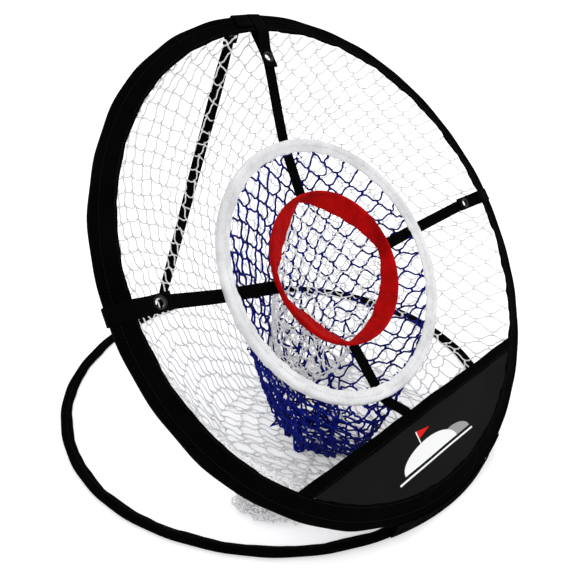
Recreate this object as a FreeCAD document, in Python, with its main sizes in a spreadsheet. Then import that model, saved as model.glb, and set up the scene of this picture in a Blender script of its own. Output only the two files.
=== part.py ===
import FreeCAD, Part
import math
import os
import Sketcher

# Golf chipping net: two spring hoops, one lying flat and one leaning back on it, with two
# target rings hung inside the leaning hoop on webbing straps, and a net bag behind each.
# Frame: millimetres, +Z up, the target faces -Y, origin on the floor at the middle of the
# flat hoop.

os.makedirs("parts", exist_ok=True)
doc = FreeCAD.newDocument("chipping_net")
sheet = doc.addObject("Spreadsheet::Sheet", "Sizes")
DRIVING = [
    # Hoops
    ("baseRadius", 297.5, "outer radius of the flat hoop"),
    ("baseSleeveWidth", 14.0, "its sleeve, measured along the floor"),
    ("baseSleeveHeight", 7.5, "its sleeve, measured up"),
    ("mainRadius", 305.0, "outer radius of the leaning hoop"),
    ("mainLean", 37.4, "how far the leaning hoop leans back from upright, degrees"),
    ("mainSetback", 2.0, "front of the flat hoop to the foot of the leaning hoop"),
    ("mainSleeveWidth", 24.0, "sleeve of the leaning hoop, measured towards its middle"),
    ("mainSleeveTube", 7.0, "thickness of that sleeve over its band"),
    ("mainSleeveHem", 1.8, "thickness of that sleeve at its inner hem"),
    ("mainSleeveDish", 7.0, "how far the hem stands forward of the band"),
    ("sleeveWall", 0.9, "cloth of the sleeve round a band"),
    ("bandThick", 0.6, "spring steel band of the two hoops, across"),
    ("bandHeight", 4.0, "the same band, along the hoop's axis"),
    ("ferruleWall", 0.35, "crimped tube that joins a band's ends"),
    ("ferruleLength", 24.0, "length of that tube"),
    ("ferruleFit", 0.05, "clearance of the band in its ferrule"),
    ("channelFit", 0.2, "clearance of the ferrule in its sleeve"),
    ("bandGap", 1.5, "gap between the two ends of a band"),
    ("baseJoin", 60.0, "where the flat hoop's band is joined, degrees from the right"),
    ("mainJoin", 330.0, "where the leaning hoop's band is joined, degrees from the top"),
    ("ringJoin", 140.0, "where the rings' bands are joined, degrees from the top"),
    ("clothGap", 0.3, "clearance between soft pieces that lie together"),
    ("baseCorner", 1.6, "corners of the flat hoop's sleeve round its band"),
    ("baseHemHeight", 3.2, "its inner hem, measured up"),
    ("baseHemCorner", 1.2, "corners of that hem"),
    ("mainCorner", 1.2, "corners of the leaning hoop's sleeve"),
    # Target rings
    ("ringOffsetRight", -12.0, "ring centre from the hoop centre, to the right"),
    ("ringOverPanel", 27.0, "foot of the middle ring over the middle of the panel's top edge"),
    ("ringRecess", 14.0, "how far the rings hang behind the leaning hoop's band"),
    ("ringBandThick", 0.5, "spring band of the two rings, across"),
    ("ringBandHeight", 3.0, "the same band, along the ring's axis"),
    ("middleRadius", 162.0, "outer radius of the middle ring"),
    ("middleSleeveWidth", 16.0, "sleeve of the middle ring, towards its middle"),
    ("middleSleeveTube", 9.0, "thickness of that sleeve over its band"),
    ("middleSleeveHem", 1.6, "thickness of that sleeve at its inner hem"),
    ("innerRadius", 94.5, "outer radius of the inner ring"),
    ("innerTubeWidth", 4.6, "rolled edge of the inner ring, across"),
    ("innerTube", 6.6, "rolled edge of the inner ring, along its axis"),
    ("innerCornerRadius", 84.0, "inner hem of the red cloth at the four straps"),
    ("innerMidRadius", 63.0, "inner hem of the red cloth midway between them"),
    ("innerHemDepth", 13.0, "how far that hem lies behind the rolled edge"),
    ("innerCloth", 1.4, "thickness of the red cloth"),
    ("middleCorner", 1.6, "corners of the middle ring's sleeve"),
    ("innerCorner", 1.3, "corners of the inner ring's rolled edge"),
    # Straps, tabs and eyelets
    ("webbingThick", 1.2, "webbing of the tabs"),
    ("strapWidth", 15.0, "width of the straps"),
    ("strapThick", 1.4, "thickness of the straps"),
    ("tabWidth", 18.0, "width of the tabs round the leaning hoop"),
    ("tabLength", 67.0, "outer edge of the hoop to a tab's end"),
    ("tabLevel", -1.0, "height of a tab's two plies over the band's plane"),
    ("tabFit", 0.4, "clearance of a tab round the sleeve"),
    ("tabSewn", 23.0, "length over which its two plies are sewn together"),
    ("eyeletInset", 54.0, "outer edge of the hoop to an eyelet"),
    ("eyeletBore", 10.0, "clear bore of an eyelet"),
    ("eyeletWall", 0.5, "wall of its barrel"),
    ("eyeletFlange", 14.4, "outer diameter of its flange and washer"),
    ("eyeletFlangeThick", 0.6, "thickness of its flange and washer"),
    ("eyeletFit", 0.1, "clearance of the barrel in the webbing"),
    ("eyeletRound", 0.4, "rounding of its flange"),
    ("topClock", 3.2, "places on the leaning hoop, degrees clockwise from the top"),
    ("rightClock", 91.0, "right strap"),
    ("leftClock", 275.2, "left strap"),
    ("topRingClock", -2.4, "places on the inner ring, degrees clockwise from the top"),
    ("rightRingClock", 90.0, "right strap"),
    ("bottomRingClock", 197.0, "bottom strap"),
    ("leftRingClock", 273.6, "left strap"),
    ("strapSeat", 4.6, "end of a strap sewn on the back of the inner ring's rolled edge"),
    ("strapLap", 9.0, "strap beyond the eyelet"),
    ("strapFlat", 4.0, "strap level beyond each side of the middle ring's sleeve"),
    # Front panel
    ("panelTop", 103.0, "middle of the panel's top edge, up the leaning hoop"),
    ("panelThick", 1.0, "cloth of the panel"),
    ("panelInset", 1.0, "panel's edge below the binding's edge"),
    ("bindingWidth", 14.0, "binding along the panel's top edge"),
    ("bindingThick", 2.6, "the same binding, through the panel"),
    ("bottomStrapRight", -26.0, "bottom strap's end on the binding, to the right"),
    # Rear strap
    ("rearRight", -5.0, "rear strap from the middle, to the right"),
    ("rearTabWidth", 22.0, "width of its tab"),
    ("rearTabLength", 34.0, "its tab, from the hoop back along the strap"),
    ("rearTabGrip", 17.0, "its tab over the front of the sleeve"),
    ("rearEyeletInset", 18.0, "its eyelet, from the hoop back along the strap"),
    ("rearSeat", 11.0, "strap sewn flat on the flat hoop's sleeve"),
    # Nets, as thin shells of their outer shape
    ("netThick", 1.6, "cord and knots of a net"),
    ("meshCord", 5.0, "strands between the openings of the outer net, drawn few and large"),
    ("meshLeast", 22.0, "smallest such opening, across"),
    ("outerFloorRadius", 196.0, "outer net where it lies on the floor"),
    ("outerFloorInset", 23.5, "its front there, from the flat hoop's sleeve"),
    ("outerBulge", 24.0, "how far its back swells"),
    ("outerEase", 1.3, "how late it turns level on its way down, as a power"),
    ("floorGap", 0.6, "height of a net over the floor"),
    ("middleFloorRadius", 66.0, "blue net where it lies on the outer net"),
    ("middleFloorRight", -25.0, "its middle there, to the right"),
    ("middleFloorBack", -48.0, "its middle there, from the outer net's"),
    ("middleFloorUp", 2.6, "its height there"),
    ("middleEase", 1.3, "how late it turns level on its way down, as a power"),
    ("innerFloorRadius", 42.0, "bottom of the white inner net"),
    ("innerFloorBack", -44.0, "its middle, from the outer net's"),
    ("innerFloorUp", 68.0, "its height"),
    ("innerEase", 1.0, "how late it turns level on its way down, as a power"),
    # Seam between the hoops
    ("seamHalf", 104.0, "half the length of the seam along the front"),
    ("seamThick", 1.0, "thickness of the seam's tape"),
]
for row, (alias, number, note) in enumerate(DRIVING, start=1):
    sheet.set("A%d" % row, note)
    sheet.set("B%d" % row, "%g" % number)
    sheet.setAlias("B%d" % row, alias)
doc.recompute()


class Size:
    """A value in millimetres or degrees together with the sheet expression it comes from."""

    def __init__(self, value, text):
        self.value = float(value)
        self.text = text

    def join(self, other, sign, value):
        return Size(value, "(%s %s %s)" % (self.text, sign, asSize(other).text))

    def __add__(self, other):
        return self.join(other, "+", self.value + asSize(other).value)

    def __sub__(self, other):
        return self.join(other, "-", self.value - asSize(other).value)

    def __mul__(self, other):
        return self.join(other, "*", self.value * asSize(other).value)

    def __truediv__(self, other):
        return self.join(other, "/", self.value / asSize(other).value)

    def __radd__(self, other):
        return asSize(other) + self

    def __rsub__(self, other):
        return asSize(other) - self

    def __rmul__(self, other):
        return asSize(other) * self

    def __neg__(self):
        return asSize(0.0) - self


def asSize(number):
    return number if isinstance(number, Size) else Size(number, "%g" % number)


def size(alias):
    return Size(sheet.get(alias), "Sizes." + alias)


def bind(feature, name, wanted):
    feature.setExpression(name, wanted.text)


def frameAt(placement, right=0.0, up=0.0, forward=0.0):
    """The same frame moved within itself: right, up the hoop and forward of it."""
    return placement.multiply(FreeCAD.Placement(FreeCAD.Vector(right, up, forward), FreeCAD.Rotation()))


def frameTurned(placement, clock):
    """A hoop's frame turned so that its X axis points outward at a clock angle from the top."""
    turn = FreeCAD.Rotation(FreeCAD.Vector(0, 0, 1), 90.0 - clock)
    return placement.multiply(FreeCAD.Placement(FreeCAD.Vector(), turn))


def clockPoint(radius, clock):
    angle = math.radians(clock)
    return FreeCAD.Vector(radius * math.sin(angle), radius * math.cos(angle), 0)


def newBody(label, placement):
    body = doc.addObject("PartDesign::Body", label)
    body.Placement = placement
    return body


def newSketch(body, name, plane):
    sketch = body.newObject("Sketcher::SketchObject", name)
    support = [one for one in body.Origin.OriginFeatures if one.Role == plane][0]
    sketch.AttachmentSupport = [(support, "")]
    sketch.MapMode = "FlatFace"
    return sketch


def outline(sketch, points):
    """A closed outline of straight sides, each corner bound to the sheet."""
    first = sketch.GeometryCount
    count = len(points)
    spots = [FreeCAD.Vector(asSize(x).value, asSize(y).value, 0) for x, y in points]
    for index in range(count):
        sketch.addGeometry(Part.LineSegment(spots[index], spots[(index + 1) % count]))
    for index in range(count):
        after = first + (index + 1) % count
        sketch.addConstraint(Sketcher.Constraint("Coincident", first + index, 2, after, 1))
    for index, corner in enumerate(points):
        for kind, wanted in zip(("DistanceX", "DistanceY"), corner):
            wanted = asSize(wanted)
            rule = Sketcher.Constraint(kind, -1, 1, first + index, 1, wanted.value)
            number = sketch.addConstraint(rule)
            if "Sizes." in wanted.text:
                sketch.setExpression("Constraints[%d]" % number, wanted.text)


def circle(sketch, x, y, radius):
    spot = FreeCAD.Vector(asSize(x).value, asSize(y).value, 0)
    edge = sketch.addGeometry(Part.Circle(spot, FreeCAD.Vector(0, 0, 1), radius.value))
    rules = [
        (Sketcher.Constraint("DistanceX", -1, 1, edge, 3, spot.x), asSize(x)),
        (Sketcher.Constraint("DistanceY", -1, 1, edge, 3, spot.y), asSize(y)),
        (Sketcher.Constraint("Radius", edge, radius.value), radius),
    ]
    for rule, wanted in rules:
        number = sketch.addConstraint(rule)
        if "Sizes." in wanted.text:
            sketch.setExpression("Constraints[%d]" % number, wanted.text)


def revolvedBody(label, placement, outlines, angle=None, start=0.0):
    """Outlines drawn in radius and height, turned about the frame's Z axis."""
    turned = placement.multiply(
        FreeCAD.Placement(FreeCAD.Vector(), FreeCAD.Rotation(FreeCAD.Vector(0, 0, 1), start))
    )
    body = newBody(label, turned)
    sketch = newSketch(body, label + "_profile", "XZ_Plane")
    for points in outlines:
        outline(sketch, points)
    turn = body.newObject("PartDesign::Revolution", label + "_turn")
    turn.Profile = sketch
    turn.ReferenceAxis = (sketch, ["V_Axis"])
    turn.Angle = 360.0
    if angle is not None:
        turn.Angle = angle.value
        bind(turn, "Angle", angle)
    return body


def paddedBody(label, placement, outlines, width, plane="XZ_Plane"):
    """Outlines in a middle plane of the piece, given their width to both sides."""
    body = newBody(label, placement)
    sketch = newSketch(body, label + "_profile", plane)
    for points in outlines:
        outline(sketch, points)
    pad = body.newObject("PartDesign::Pad", label + "_pad")
    pad.Profile = sketch
    pad.Midplane = True
    bind(pad, "Length", width)
    return body


def roundHole(body, label, x, radius):
    """A round hole through a padded strip, square to its plies, at a distance along it."""
    sketch = newSketch(body, label + "_circle", "XY_Plane")
    circle(sketch, x, 0.0, radius)
    pocket = body.newObject("PartDesign::Pocket", label + "_hole")
    pocket.Profile = sketch
    pocket.Type = "ThroughAll"
    pocket.Midplane = True


def box(corner, opposite):
    """The four corners of a rectangle from two opposite ones."""
    return [corner, (opposite[0], corner[1]), opposite, (corner[0], opposite[1])]


# Frames
lean = math.radians(size("mainLean").value)
bandJoint = size("ferruleWall") + size("ferruleFit")
channelSpare = bandJoint + size("channelFit")
tubeWidth = (size("bandThick") + channelSpare * 2.0 + size("sleeveWall") * 2.0)
hingeUp = size("baseSleeveHeight") + size("clothGap") + size("mainSleeveTube") / 2.0
footBack = size("mainSetback") - size("baseRadius")
footUp = hingeUp.value - tubeWidth.value / 2.0 * math.cos(lean)
hingeBack = footBack.value + tubeWidth.value / 2.0 * math.sin(lean)
mainTilt = FreeCAD.Rotation(FreeCAD.Vector(1, 0, 0), 90.0 - size("mainLean").value)
mainRise = FreeCAD.Vector(0, math.sin(lean), math.cos(lean)) * size("mainRadius").value
baseFrame = FreeCAD.Placement()
mainFrame = FreeCAD.Placement(FreeCAD.Vector(0, footBack.value, footUp) + mainRise, mainTilt)
ringUp = size("panelTop") - size("mainRadius") + size("ringOverPanel") + size("middleRadius")
ringFrame = frameAt(
    mainFrame,
    size("ringOffsetRight").value,
    ringUp.value,
    -size("ringRecess").value,
)


# Spring bands, with the crimped tube that joins the ends of each
def springBand(prefix, frame, radius, thick, height, middle):
    half = height / 2.0
    edge = radius - size("sleeveWall") - channelSpare
    ring = box((edge - thick, middle - half), (edge, middle + half))
    gap = size("bandGap") / (radius * 2.0 * math.pi) * 360.0
    revolvedBody(prefix + "_spring_band", frame, [ring], asSize(360.0) - gap, gap.value / 2.0)
    fit = size("ferruleFit")
    outer = box(
        (edge - thick - bandJoint, middle - half - bandJoint),
        (edge + bandJoint, middle + half + bandJoint),
    )
    inner = box((edge - thick - fit, middle - half - fit), (edge + fit, middle + half + fit))
    span = size("ferruleLength") / (radius * 2.0 * math.pi) * 360.0
    revolvedBody(prefix + "_band_ferrule", frame, [outer, inner], span, -span.value / 2.0)


def channel(radius, thick, height, middle):
    """The tunnel in a sleeve that its band and ferrule lie in."""
    edge = radius - size("sleeveWall")
    half = height / 2.0 + channelSpare
    return box((edge - thick - channelSpare * 2.0, middle - half), (edge, middle + half))


hoopBand = (size("bandThick"), size("bandHeight"))
ringBand = (size("ringBandThick"), size("ringBandHeight"))
level = asSize(0.0)
baseMiddle = size("baseSleeveHeight") / 2.0
baseJoin = frameTurned(baseFrame, 90.0 - size("baseJoin").value)
mainJoin = frameTurned(mainFrame, size("mainJoin").value)
ringJoin = frameTurned(ringFrame, size("ringJoin").value)
springBand("base_hoop", baseJoin, size("baseRadius"), *hoopBand, baseMiddle)
springBand("main_hoop", mainJoin, size("mainRadius"), *hoopBand, level)
springBand("middle_ring", ringJoin, size("middleRadius"), *ringBand, level)
springBand("inner_ring", ringJoin, size("innerRadius"), *ringBand, level)

# Sleeve of the flat hoop: its thick outer edge holds the band, and it lies flat on the floor
corner = size("baseCorner")
hemCorner = size("baseHemCorner")
hemHeight = size("baseHemHeight")
outer = size("baseRadius")
inner = outer - size("baseSleeveWidth")
height = size("baseSleeveHeight")
baseOutline = [
    (outer - corner, level),
    (outer, corner),
    (outer, height - corner),
    (outer - corner, height),
    (outer - corner * 3.0, height),
    (inner + hemCorner, hemHeight + hemCorner),
    (inner, hemHeight),
    (inner, hemCorner),
    (inner + hemCorner, level),
]
revolvedBody("base_hoop_sleeve", baseFrame, [baseOutline, channel(outer, *hoopBand, baseMiddle)])

# Sleeve of the leaning hoop: round over the band, then a hem that stands forward
outer = size("mainRadius")
half = size("mainSleeveTube") / 2.0
hemEdge = outer - size("mainSleeveWidth")
hemFront = size("mainSleeveDish") + size("mainSleeveHem") / 2.0
hemBack = size("mainSleeveDish") - size("mainSleeveHem") / 2.0
corner = size("mainCorner")
mainOutline = [
    (outer - corner, -half),
    (outer, corner - half),
    (outer, half - corner),
    (outer - corner, half),
    (outer - tubeWidth - corner, half + corner * 0.25),
    (hemEdge, hemFront),
    (hemEdge, hemBack),
    (outer - tubeWidth - corner, -half),
]
revolvedBody("main_hoop_sleeve", mainFrame, [mainOutline, channel(outer, *hoopBand, level)])

# White sleeve of the middle ring: round over its band, with a flat hem inwards
outer = size("middleRadius")
half = size("middleSleeveTube") / 2.0
hem = size("middleSleeveHem") / 2.0
corner = size("middleCorner")
middleOutline = [
    (outer - corner, -half),
    (outer, corner - half),
    (outer, half - corner),
    (outer - corner, half),
    (outer - corner * 3.0, half),
    (outer - size("middleSleeveWidth"), hem),
    (outer - size("middleSleeveWidth"), -hem),
    (outer - corner * 3.0, -half),
]
revolvedBody("middle_ring_sleeve", ringFrame, [middleOutline, channel(outer, *ringBand, level)])


# Red cloth of the inner ring: a rolled edge over its band and a funnel drawn in between straps
STRAPS = {
    "top": (size("topClock"), size("topRingClock")),
    "right": (size("rightClock"), size("rightRingClock")),
    "bottom": (None, size("bottomRingClock")),
    "left": (size("leftClock"), size("leftRingClock")),
}


def drawnRing(cornerRadius, midRadius, height):
    """A closed outline of four arcs with its corners at the straps, drawn in between them."""
    clocks = [STRAPS[name][1].value for name in ("top", "right", "bottom", "left")]
    lift = FreeCAD.Vector(0, 0, height)
    edges = []
    for index, clock in enumerate(clocks):
        after = clocks[(index + 1) % 4] + (360.0 if index == 3 else 0.0)
        ends = [clockPoint(cornerRadius, one) + lift for one in (clock, after)]
        middle = clockPoint(midRadius, (clock + after) / 2.0) + lift
        edges.append(Part.Arc(ends[0], middle, ends[1]).toShape())
    return Part.Wire(edges)


def funnel(wires, inward, forward):
    """A skin between closed outlines, its thickness given inward and forward."""
    skin = Part.makeLoft([drawnRing(*wire) for wire in wires], True, False)
    hollow = [(a - inward, b - inward, rise + forward) for a, b, rise in wires]
    first, last = hollow[0], hollow[-1]
    hollow = [(first[0], first[1], first[2] + 4.0)] + hollow + [(last[0], last[1], last[2] - 4.0)]
    return skin.cut(Part.makeLoft([drawnRing(*wire) for wire in hollow], True, True))


def feature(label, shape, placement):
    piece = doc.addObject("Part::Feature", label)
    piece.Shape = shape
    piece.Placement = placement
    return piece


def turnedProfile(points):
    """An outline in radius and height turned fully about Z."""
    spots = [FreeCAD.Vector(asSize(x).value, 0, asSize(z).value) for x, z in points]
    face = Part.Face(Part.makePolygon(spots + spots[:1]))
    return face.revolve(FreeCAD.Vector(), FreeCAD.Vector(0, 0, 1), 360.0)


outer = size("innerRadius")
half = size("innerTube") / 2.0
inner = outer - size("innerTubeWidth")
corner = size("innerCorner")
rolledEdge = [
    (outer - corner, -half),
    (outer, corner - half),
    (outer, half - corner),
    (outer - corner, half),
    (inner + corner, half),
    (inner, half - corner),
    (inner, corner - half),
    (inner + corner, -half),
]
roll = turnedProfile(rolledEdge).cut(turnedProfile(channel(outer, *ringBand, level)))
cloth = size("innerCloth").value
root = (inner + corner).value
cornerHem = size("innerCornerRadius").value
midHem = size("innerMidRadius").value
hemDepth = size("innerHemDepth").value
redCloth = funnel([(root, root, 0.6), (cornerHem, midHem, -hemDepth)], cloth * 0.7, cloth * 0.85)
feature("inner_ring_sleeve", roll.fuse(redCloth), ringFrame)

# Webbing tabs round the leaning hoop, each with its eyelet and washer
thick = size("webbingThick")
fit = size("tabFit")
ply = size("tabLevel")
outer = size("mainRadius")
half = size("mainSleeveTube") / 2.0
hemEdge = outer - size("mainSleeveWidth")
corner = size("mainCorner")
apex = outer - size("tabLength") + size("tabSewn")
eyeletPlace = outer - size("eyeletInset")
barrel = size("eyeletBore") / 2.0 + size("eyeletWall")
tabInside = [
    (outer + fit, corner - half),
    (outer + fit, half - corner),
    (outer - corner, half + fit),
    (outer - tubeWidth - corner, half + fit + corner * 0.25),
    (hemEdge - fit, hemFront + fit),
    (apex, ply),
    (outer - tubeWidth - corner, -half - fit),
    (outer - corner, -half - fit),
]
tabOutside = [
    (outer + fit + thick, corner * 0.6 - half),
    (outer + fit + thick, half - corner * 0.6),
    (outer - corner * 0.4, half + fit + thick),
    (outer - tubeWidth - corner, half + fit + thick + corner * 0.25),
    (hemEdge - fit - thick * 0.7, hemFront + fit + thick),
    (apex - 1.0, ply + thick),
    (outer - size("tabLength"), ply + thick),
    (outer - size("tabLength"), ply - thick),
    (apex - 1.0, ply - thick),
    (outer - tubeWidth - corner, -half - fit - thick),
    (outer - corner * 0.4, -half - fit - thick),
]


def eyelet(name, frame, front, back):
    """A metal eyelet through webbing that lies between two heights, and its washer."""
    bore = size("eyeletBore") / 2.0
    flange = size("eyeletFlange") / 2.0
    sheetMetal = size("eyeletFlangeThick")
    rounding = size("eyeletRound")
    shank = back - sheetMetal
    profile = [
        (bore, shank),
        (barrel, shank),
        (barrel, front),
        (flange, front),
        (flange, front + sheetMetal * 0.5),
        (flange - rounding, front + sheetMetal),
        (bore + rounding, front + sheetMetal),
        (bore, front + sheetMetal * 0.4),
    ]
    revolvedBody(name + "_eyelet", frame, [profile])
    ring = box((barrel + size("ferruleFit"), shank), (flange, back))
    revolvedBody(name + "_washer", frame, [ring])


for name in ("top", "right", "left"):
    clock = STRAPS[name][0].value
    tab = paddedBody(name + "_tab", frameTurned(mainFrame, clock), [tabOutside, tabInside], size("tabWidth"))
    roundHole(tab, name + "_tab", eyeletPlace, barrel + size("eyeletFit"))
    place = frameAt(mainFrame, *clockPoint(eyeletPlace.value, clock))
    eyelet(name, place, ply + thick, ply - thick - size("strapThick"))

# Straps from the red ring, behind the white ring, to a tab or to the panel's binding
strapThick = size("strapThick")
flat = size("strapFlat")
behindMiddle = -size("ringRecess") - size("middleSleeveTube") / 2.0 - size("clothGap")
behindInner = -size("ringRecess") - size("innerTube") / 2.0 - size("clothGap")
panelBack = size("mainSleeveDish") - size("bindingThick") / 2.0
ringCentre = FreeCAD.Vector(size("ringOffsetRight").value, ringUp.value, 0)
strapEnd = size("innerRadius") - size("strapSeat")
strapCuts = []
for name, (clock, ringClock) in STRAPS.items():
    near = ringCentre + clockPoint(strapEnd.value, ringClock.value)
    if clock:
        far = clockPoint(eyeletPlace.value, clock.value)
        outerLevel = ply - thick
    else:
        far = FreeCAD.Vector(size("bottomStrapRight").value, (size("panelTop") - size("mainRadius")).value, 0)
        outerLevel = panelBack
    run = near - far
    length = asSize(run.Length)
    skew = run.cross(clockPoint(1.0, ringClock.value)).Length / run.Length
    tip = length - size("strapWidth") / 2.0 * skew
    ringStart = length - (size("middleRadius") + flat - strapEnd)
    ringEnd = length - (size("middleRadius") - size("middleSleeveWidth") - flat - strapEnd)
    lap = size("strapLap") if clock else size("bindingWidth") / 2.0
    front = [
        (-lap, outerLevel),
        (lap, outerLevel),
        (ringStart, behindMiddle),
        (ringEnd, behindMiddle),
        (tip, behindInner),
    ]
    back = [(x, z - strapThick) for x, z in reversed(front)]
    turn = FreeCAD.Rotation(FreeCAD.Vector(0, 0, 1), math.degrees(math.atan2(run.y, run.x)))
    frame = mainFrame.multiply(FreeCAD.Placement(far, turn))
    strap = paddedBody(name + "_strap", frame, [front + back], size("strapWidth"))
    if clock:
        roundHole(strap, name + "_strap", level, barrel + size("eyeletFit"))
    strapCuts.append((frame, name, length.value))

# Panel across the foot of the leaning hoop, and the binding over its straight top edge
insideHoop = size("mainRadius") - size("mainSleeveWidth") - size("clothGap")
bindingLow = size("panelTop") - size("bindingWidth") / 2.0
bindingHigh = size("panelTop") + size("bindingWidth") / 2.0
panelHigh = bindingHigh - size("panelInset")
clothLevel = size("mainSleeveDish")


def disc(label, thick):
    """A round of the hoop's inside, as thick as wanted, in the cloth's plane."""
    piece = doc.addObject("Part::Cylinder", label + "_round")
    bind(piece, "Radius", insideHoop)
    bind(piece, "Height", thick)
    bind(piece, "Placement.Base.z", clothLevel - thick / 2.0)
    return piece


def slab(label, low, high, thick):
    """A slab right across the hoop between two heights up it."""
    piece = doc.addObject("Part::Box", label)
    bind(piece, "Length", insideHoop * 2.0)
    bind(piece, "Width", high - low)
    bind(piece, "Height", thick)
    bind(piece, "Placement.Base.x", -insideHoop)
    bind(piece, "Placement.Base.y", low - size("mainRadius"))
    bind(piece, "Placement.Base.z", clothLevel - thick / 2.0)
    return piece


def common(label, base, tool, placement):
    piece = doc.addObject("Part::Common", label)
    piece.Base = base
    piece.Tool = tool
    piece.Placement = placement
    return piece


cloth = size("panelThick")
binding = size("bindingThick")
panelSlab = slab("panel_slab", level, panelHigh, cloth)
common("front_panel", disc("panel", cloth), panelSlab, mainFrame)
fold = doc.addObject("Part::Cut", "binding_fold")
fold.Base = slab("binding_slab", bindingLow, bindingHigh, binding)
slotHigh = panelHigh + size("clothGap")
fold.Tool = slab("binding_slot", bindingLow, slotHigh, cloth + size("tabFit") / 2.0)
common("panel_binding", disc("binding", binding), fold, mainFrame)

# Rear tab, eyelet and strap, from the top of the leaning hoop straight down to the flat one
outer = size("mainRadius")
half = size("mainSleeveTube") / 2.0
corner = size("mainCorner")
right = size("rearRight").value
seatTop = size("baseSleeveHeight") + size("clothGap")
seatOut = size("baseRadius") + size("clothGap")
seatCorner = size("baseCorner").value
nose = mainFrame.multVec(FreeCAD.Vector(right, (outer + fit).value, (corner - half).value))
landing = FreeCAD.Vector(right, (size("baseRadius") - size("rearSeat") / 2.0).value, seatTop.value)
rearRun = landing - nose
slip = math.asin(thick.value / rearRun.Length)
fall = math.atan2(-rearRun.z, rearRun.y) + slip
along = FreeCAD.Vector(0, math.cos(fall), -math.sin(fall))
facing = FreeCAD.Vector(0, -math.sin(fall), -math.cos(fall))
rearTurn = FreeCAD.Rotation(along, FreeCAD.Vector(1, 0, 0), facing, "XYZ")
rearFrame = FreeCAD.Placement(nose, rearTurn)
backward = mainFrame.Rotation.multVec(FreeCAD.Vector(0, 0, -1))
bend = math.tan(math.acos(along.dot(backward)) / 2.0)


def rearSpot(point):
    """Distance along the rear strap and height over its front face, of a world point."""
    offset = point - nose
    return (offset.dot(along), offset.dot(facing))


def hoopSpot(radius, forward):
    spot = FreeCAD.Vector(right, asSize(radius).value, asSize(forward).value)
    return rearSpot(mainFrame.multVec(spot))


def floorSpot(back, up):
    return rearSpot(FreeCAD.Vector(right, asSize(back).value, asSize(up).value))


gripEdge = size("rearTabGrip")
shoulder = tubeWidth + corner
rise = (hemFront - half - corner * 0.25) / (size("mainSleeveWidth") - shoulder)
gripLevel = half + corner * 0.25 + fit + (gripEdge - shoulder) * rise
rearInside = [
    hoopSpot(outer - gripEdge, gripLevel),
    hoopSpot(outer - shoulder, half + fit + corner * 0.25),
    hoopSpot(outer - corner, half + fit),
    hoopSpot(outer + fit, half - corner),
    (level, level),
    (size("rearTabLength"), level),
]
rearOutside = [
    (size("rearTabLength"), -thick),
    (-thick * bend, -thick),
    hoopSpot(outer + fit + thick, half - corner * 0.6),
    hoopSpot(outer - corner * 0.4, half + fit + thick),
    hoopSpot(outer - shoulder, half + fit + thick + corner * 0.25),
    hoopSpot(outer - gripEdge, gripLevel + thick),
]
rearTab = paddedBody("rear_tab", rearFrame, [rearInside + rearOutside], size("rearTabWidth"))
roundHole(rearTab, "rear_tab", size("rearEyeletInset"), barrel + size("eyeletFit"))
rearEyeletFrame = frameAt(rearFrame, size("rearEyeletInset").value)
eyelet("rear", rearEyeletFrame, level, -thick - size("strapThick"))
seatFront = [
    floorSpot(landing.y, landing.z),
    floorSpot(size("baseRadius") - seatCorner, seatTop),
    floorSpot(seatOut, size("baseSleeveHeight") - seatCorner),
    floorSpot(seatOut, seatCorner),
]
seatBack = [
    floorSpot(seatOut + strapThick, seatCorner),
    floorSpot(seatOut + strapThick, size("baseSleeveHeight") - seatCorner * 0.6),
    floorSpot(size("baseRadius") - seatCorner * 0.4, seatTop + strapThick),
    floorSpot(landing.y + strapThick.value * math.tan(fall / 2.0), seatTop + strapThick),
]
rearStart = size("rearEyeletInset") - size("strapLap")
rearOutline = [(rearStart, -thick)] + seatFront + seatBack + [(rearStart, -thick - strapThick)]
rearStrap = paddedBody("rear_strap", rearFrame, [rearOutline], size("strapWidth"))
roundHole(rearStrap, "rear_strap", size("rearEyeletInset"), barrel + size("eyeletFit"))


# Nets: each is a thin bag from its rim, station by station, to where it lies
def bagRound(rim, floor, swell, ease, share):
    """Centre, turn and radii of a bag's outline at a share of the way down it."""
    centre = rim[0] * (1.0 - share) + floor[0] * share
    centre.y += swell * math.sin(math.pi * share)
    turned = share**ease
    tilt = rim[1] * (1.0 - turned) + floor[1] * turned
    radii = [a * (1.0 - share) + b * share for a, b in zip(rim[2], floor[2])]
    return centre, FreeCAD.Rotation(FreeCAD.Vector(1, 0, 0), tilt), radii


def bag(rim, floor, swell, ease):
    """A thin open bag between two rounds, each given as place, tilt and two radii."""
    wall = size("netThick").value
    stations = 8
    skins = []
    for inward in (0.0, wall):
        wires = []
        for step in range(-1, stations + 1):
            centre, turn, radii = bagRound(rim, floor, swell, ease, max(step, 0) / stations)
            radii = [one - inward for one in radii]
            lift = wall * 3.0 if step < 0 else (inward if step == stations else 0.0)
            if step < 0 and not inward:
                continue
            place = FreeCAD.Placement(centre + turn.multVec(FreeCAD.Vector(0, 0, lift)), turn)
            wire = drawnRing(radii[0], radii[1], 0.0)
            wire.Placement = place
            wires.append(wire)
        skins.append(Part.makeLoft(wires, True, True))
    return skins[0].cut(skins[1])


def notch(frame, low, high, back, front, width):
    """A box across a bag's rim, round a piece that passes through it."""
    block = Part.makeBox(high - low, width, front - back)
    block.Placement = frame.multiply(
        FreeCAD.Placement(FreeCAD.Vector(low, -width / 2.0, back), FreeCAD.Rotation())
    )
    return block


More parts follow.
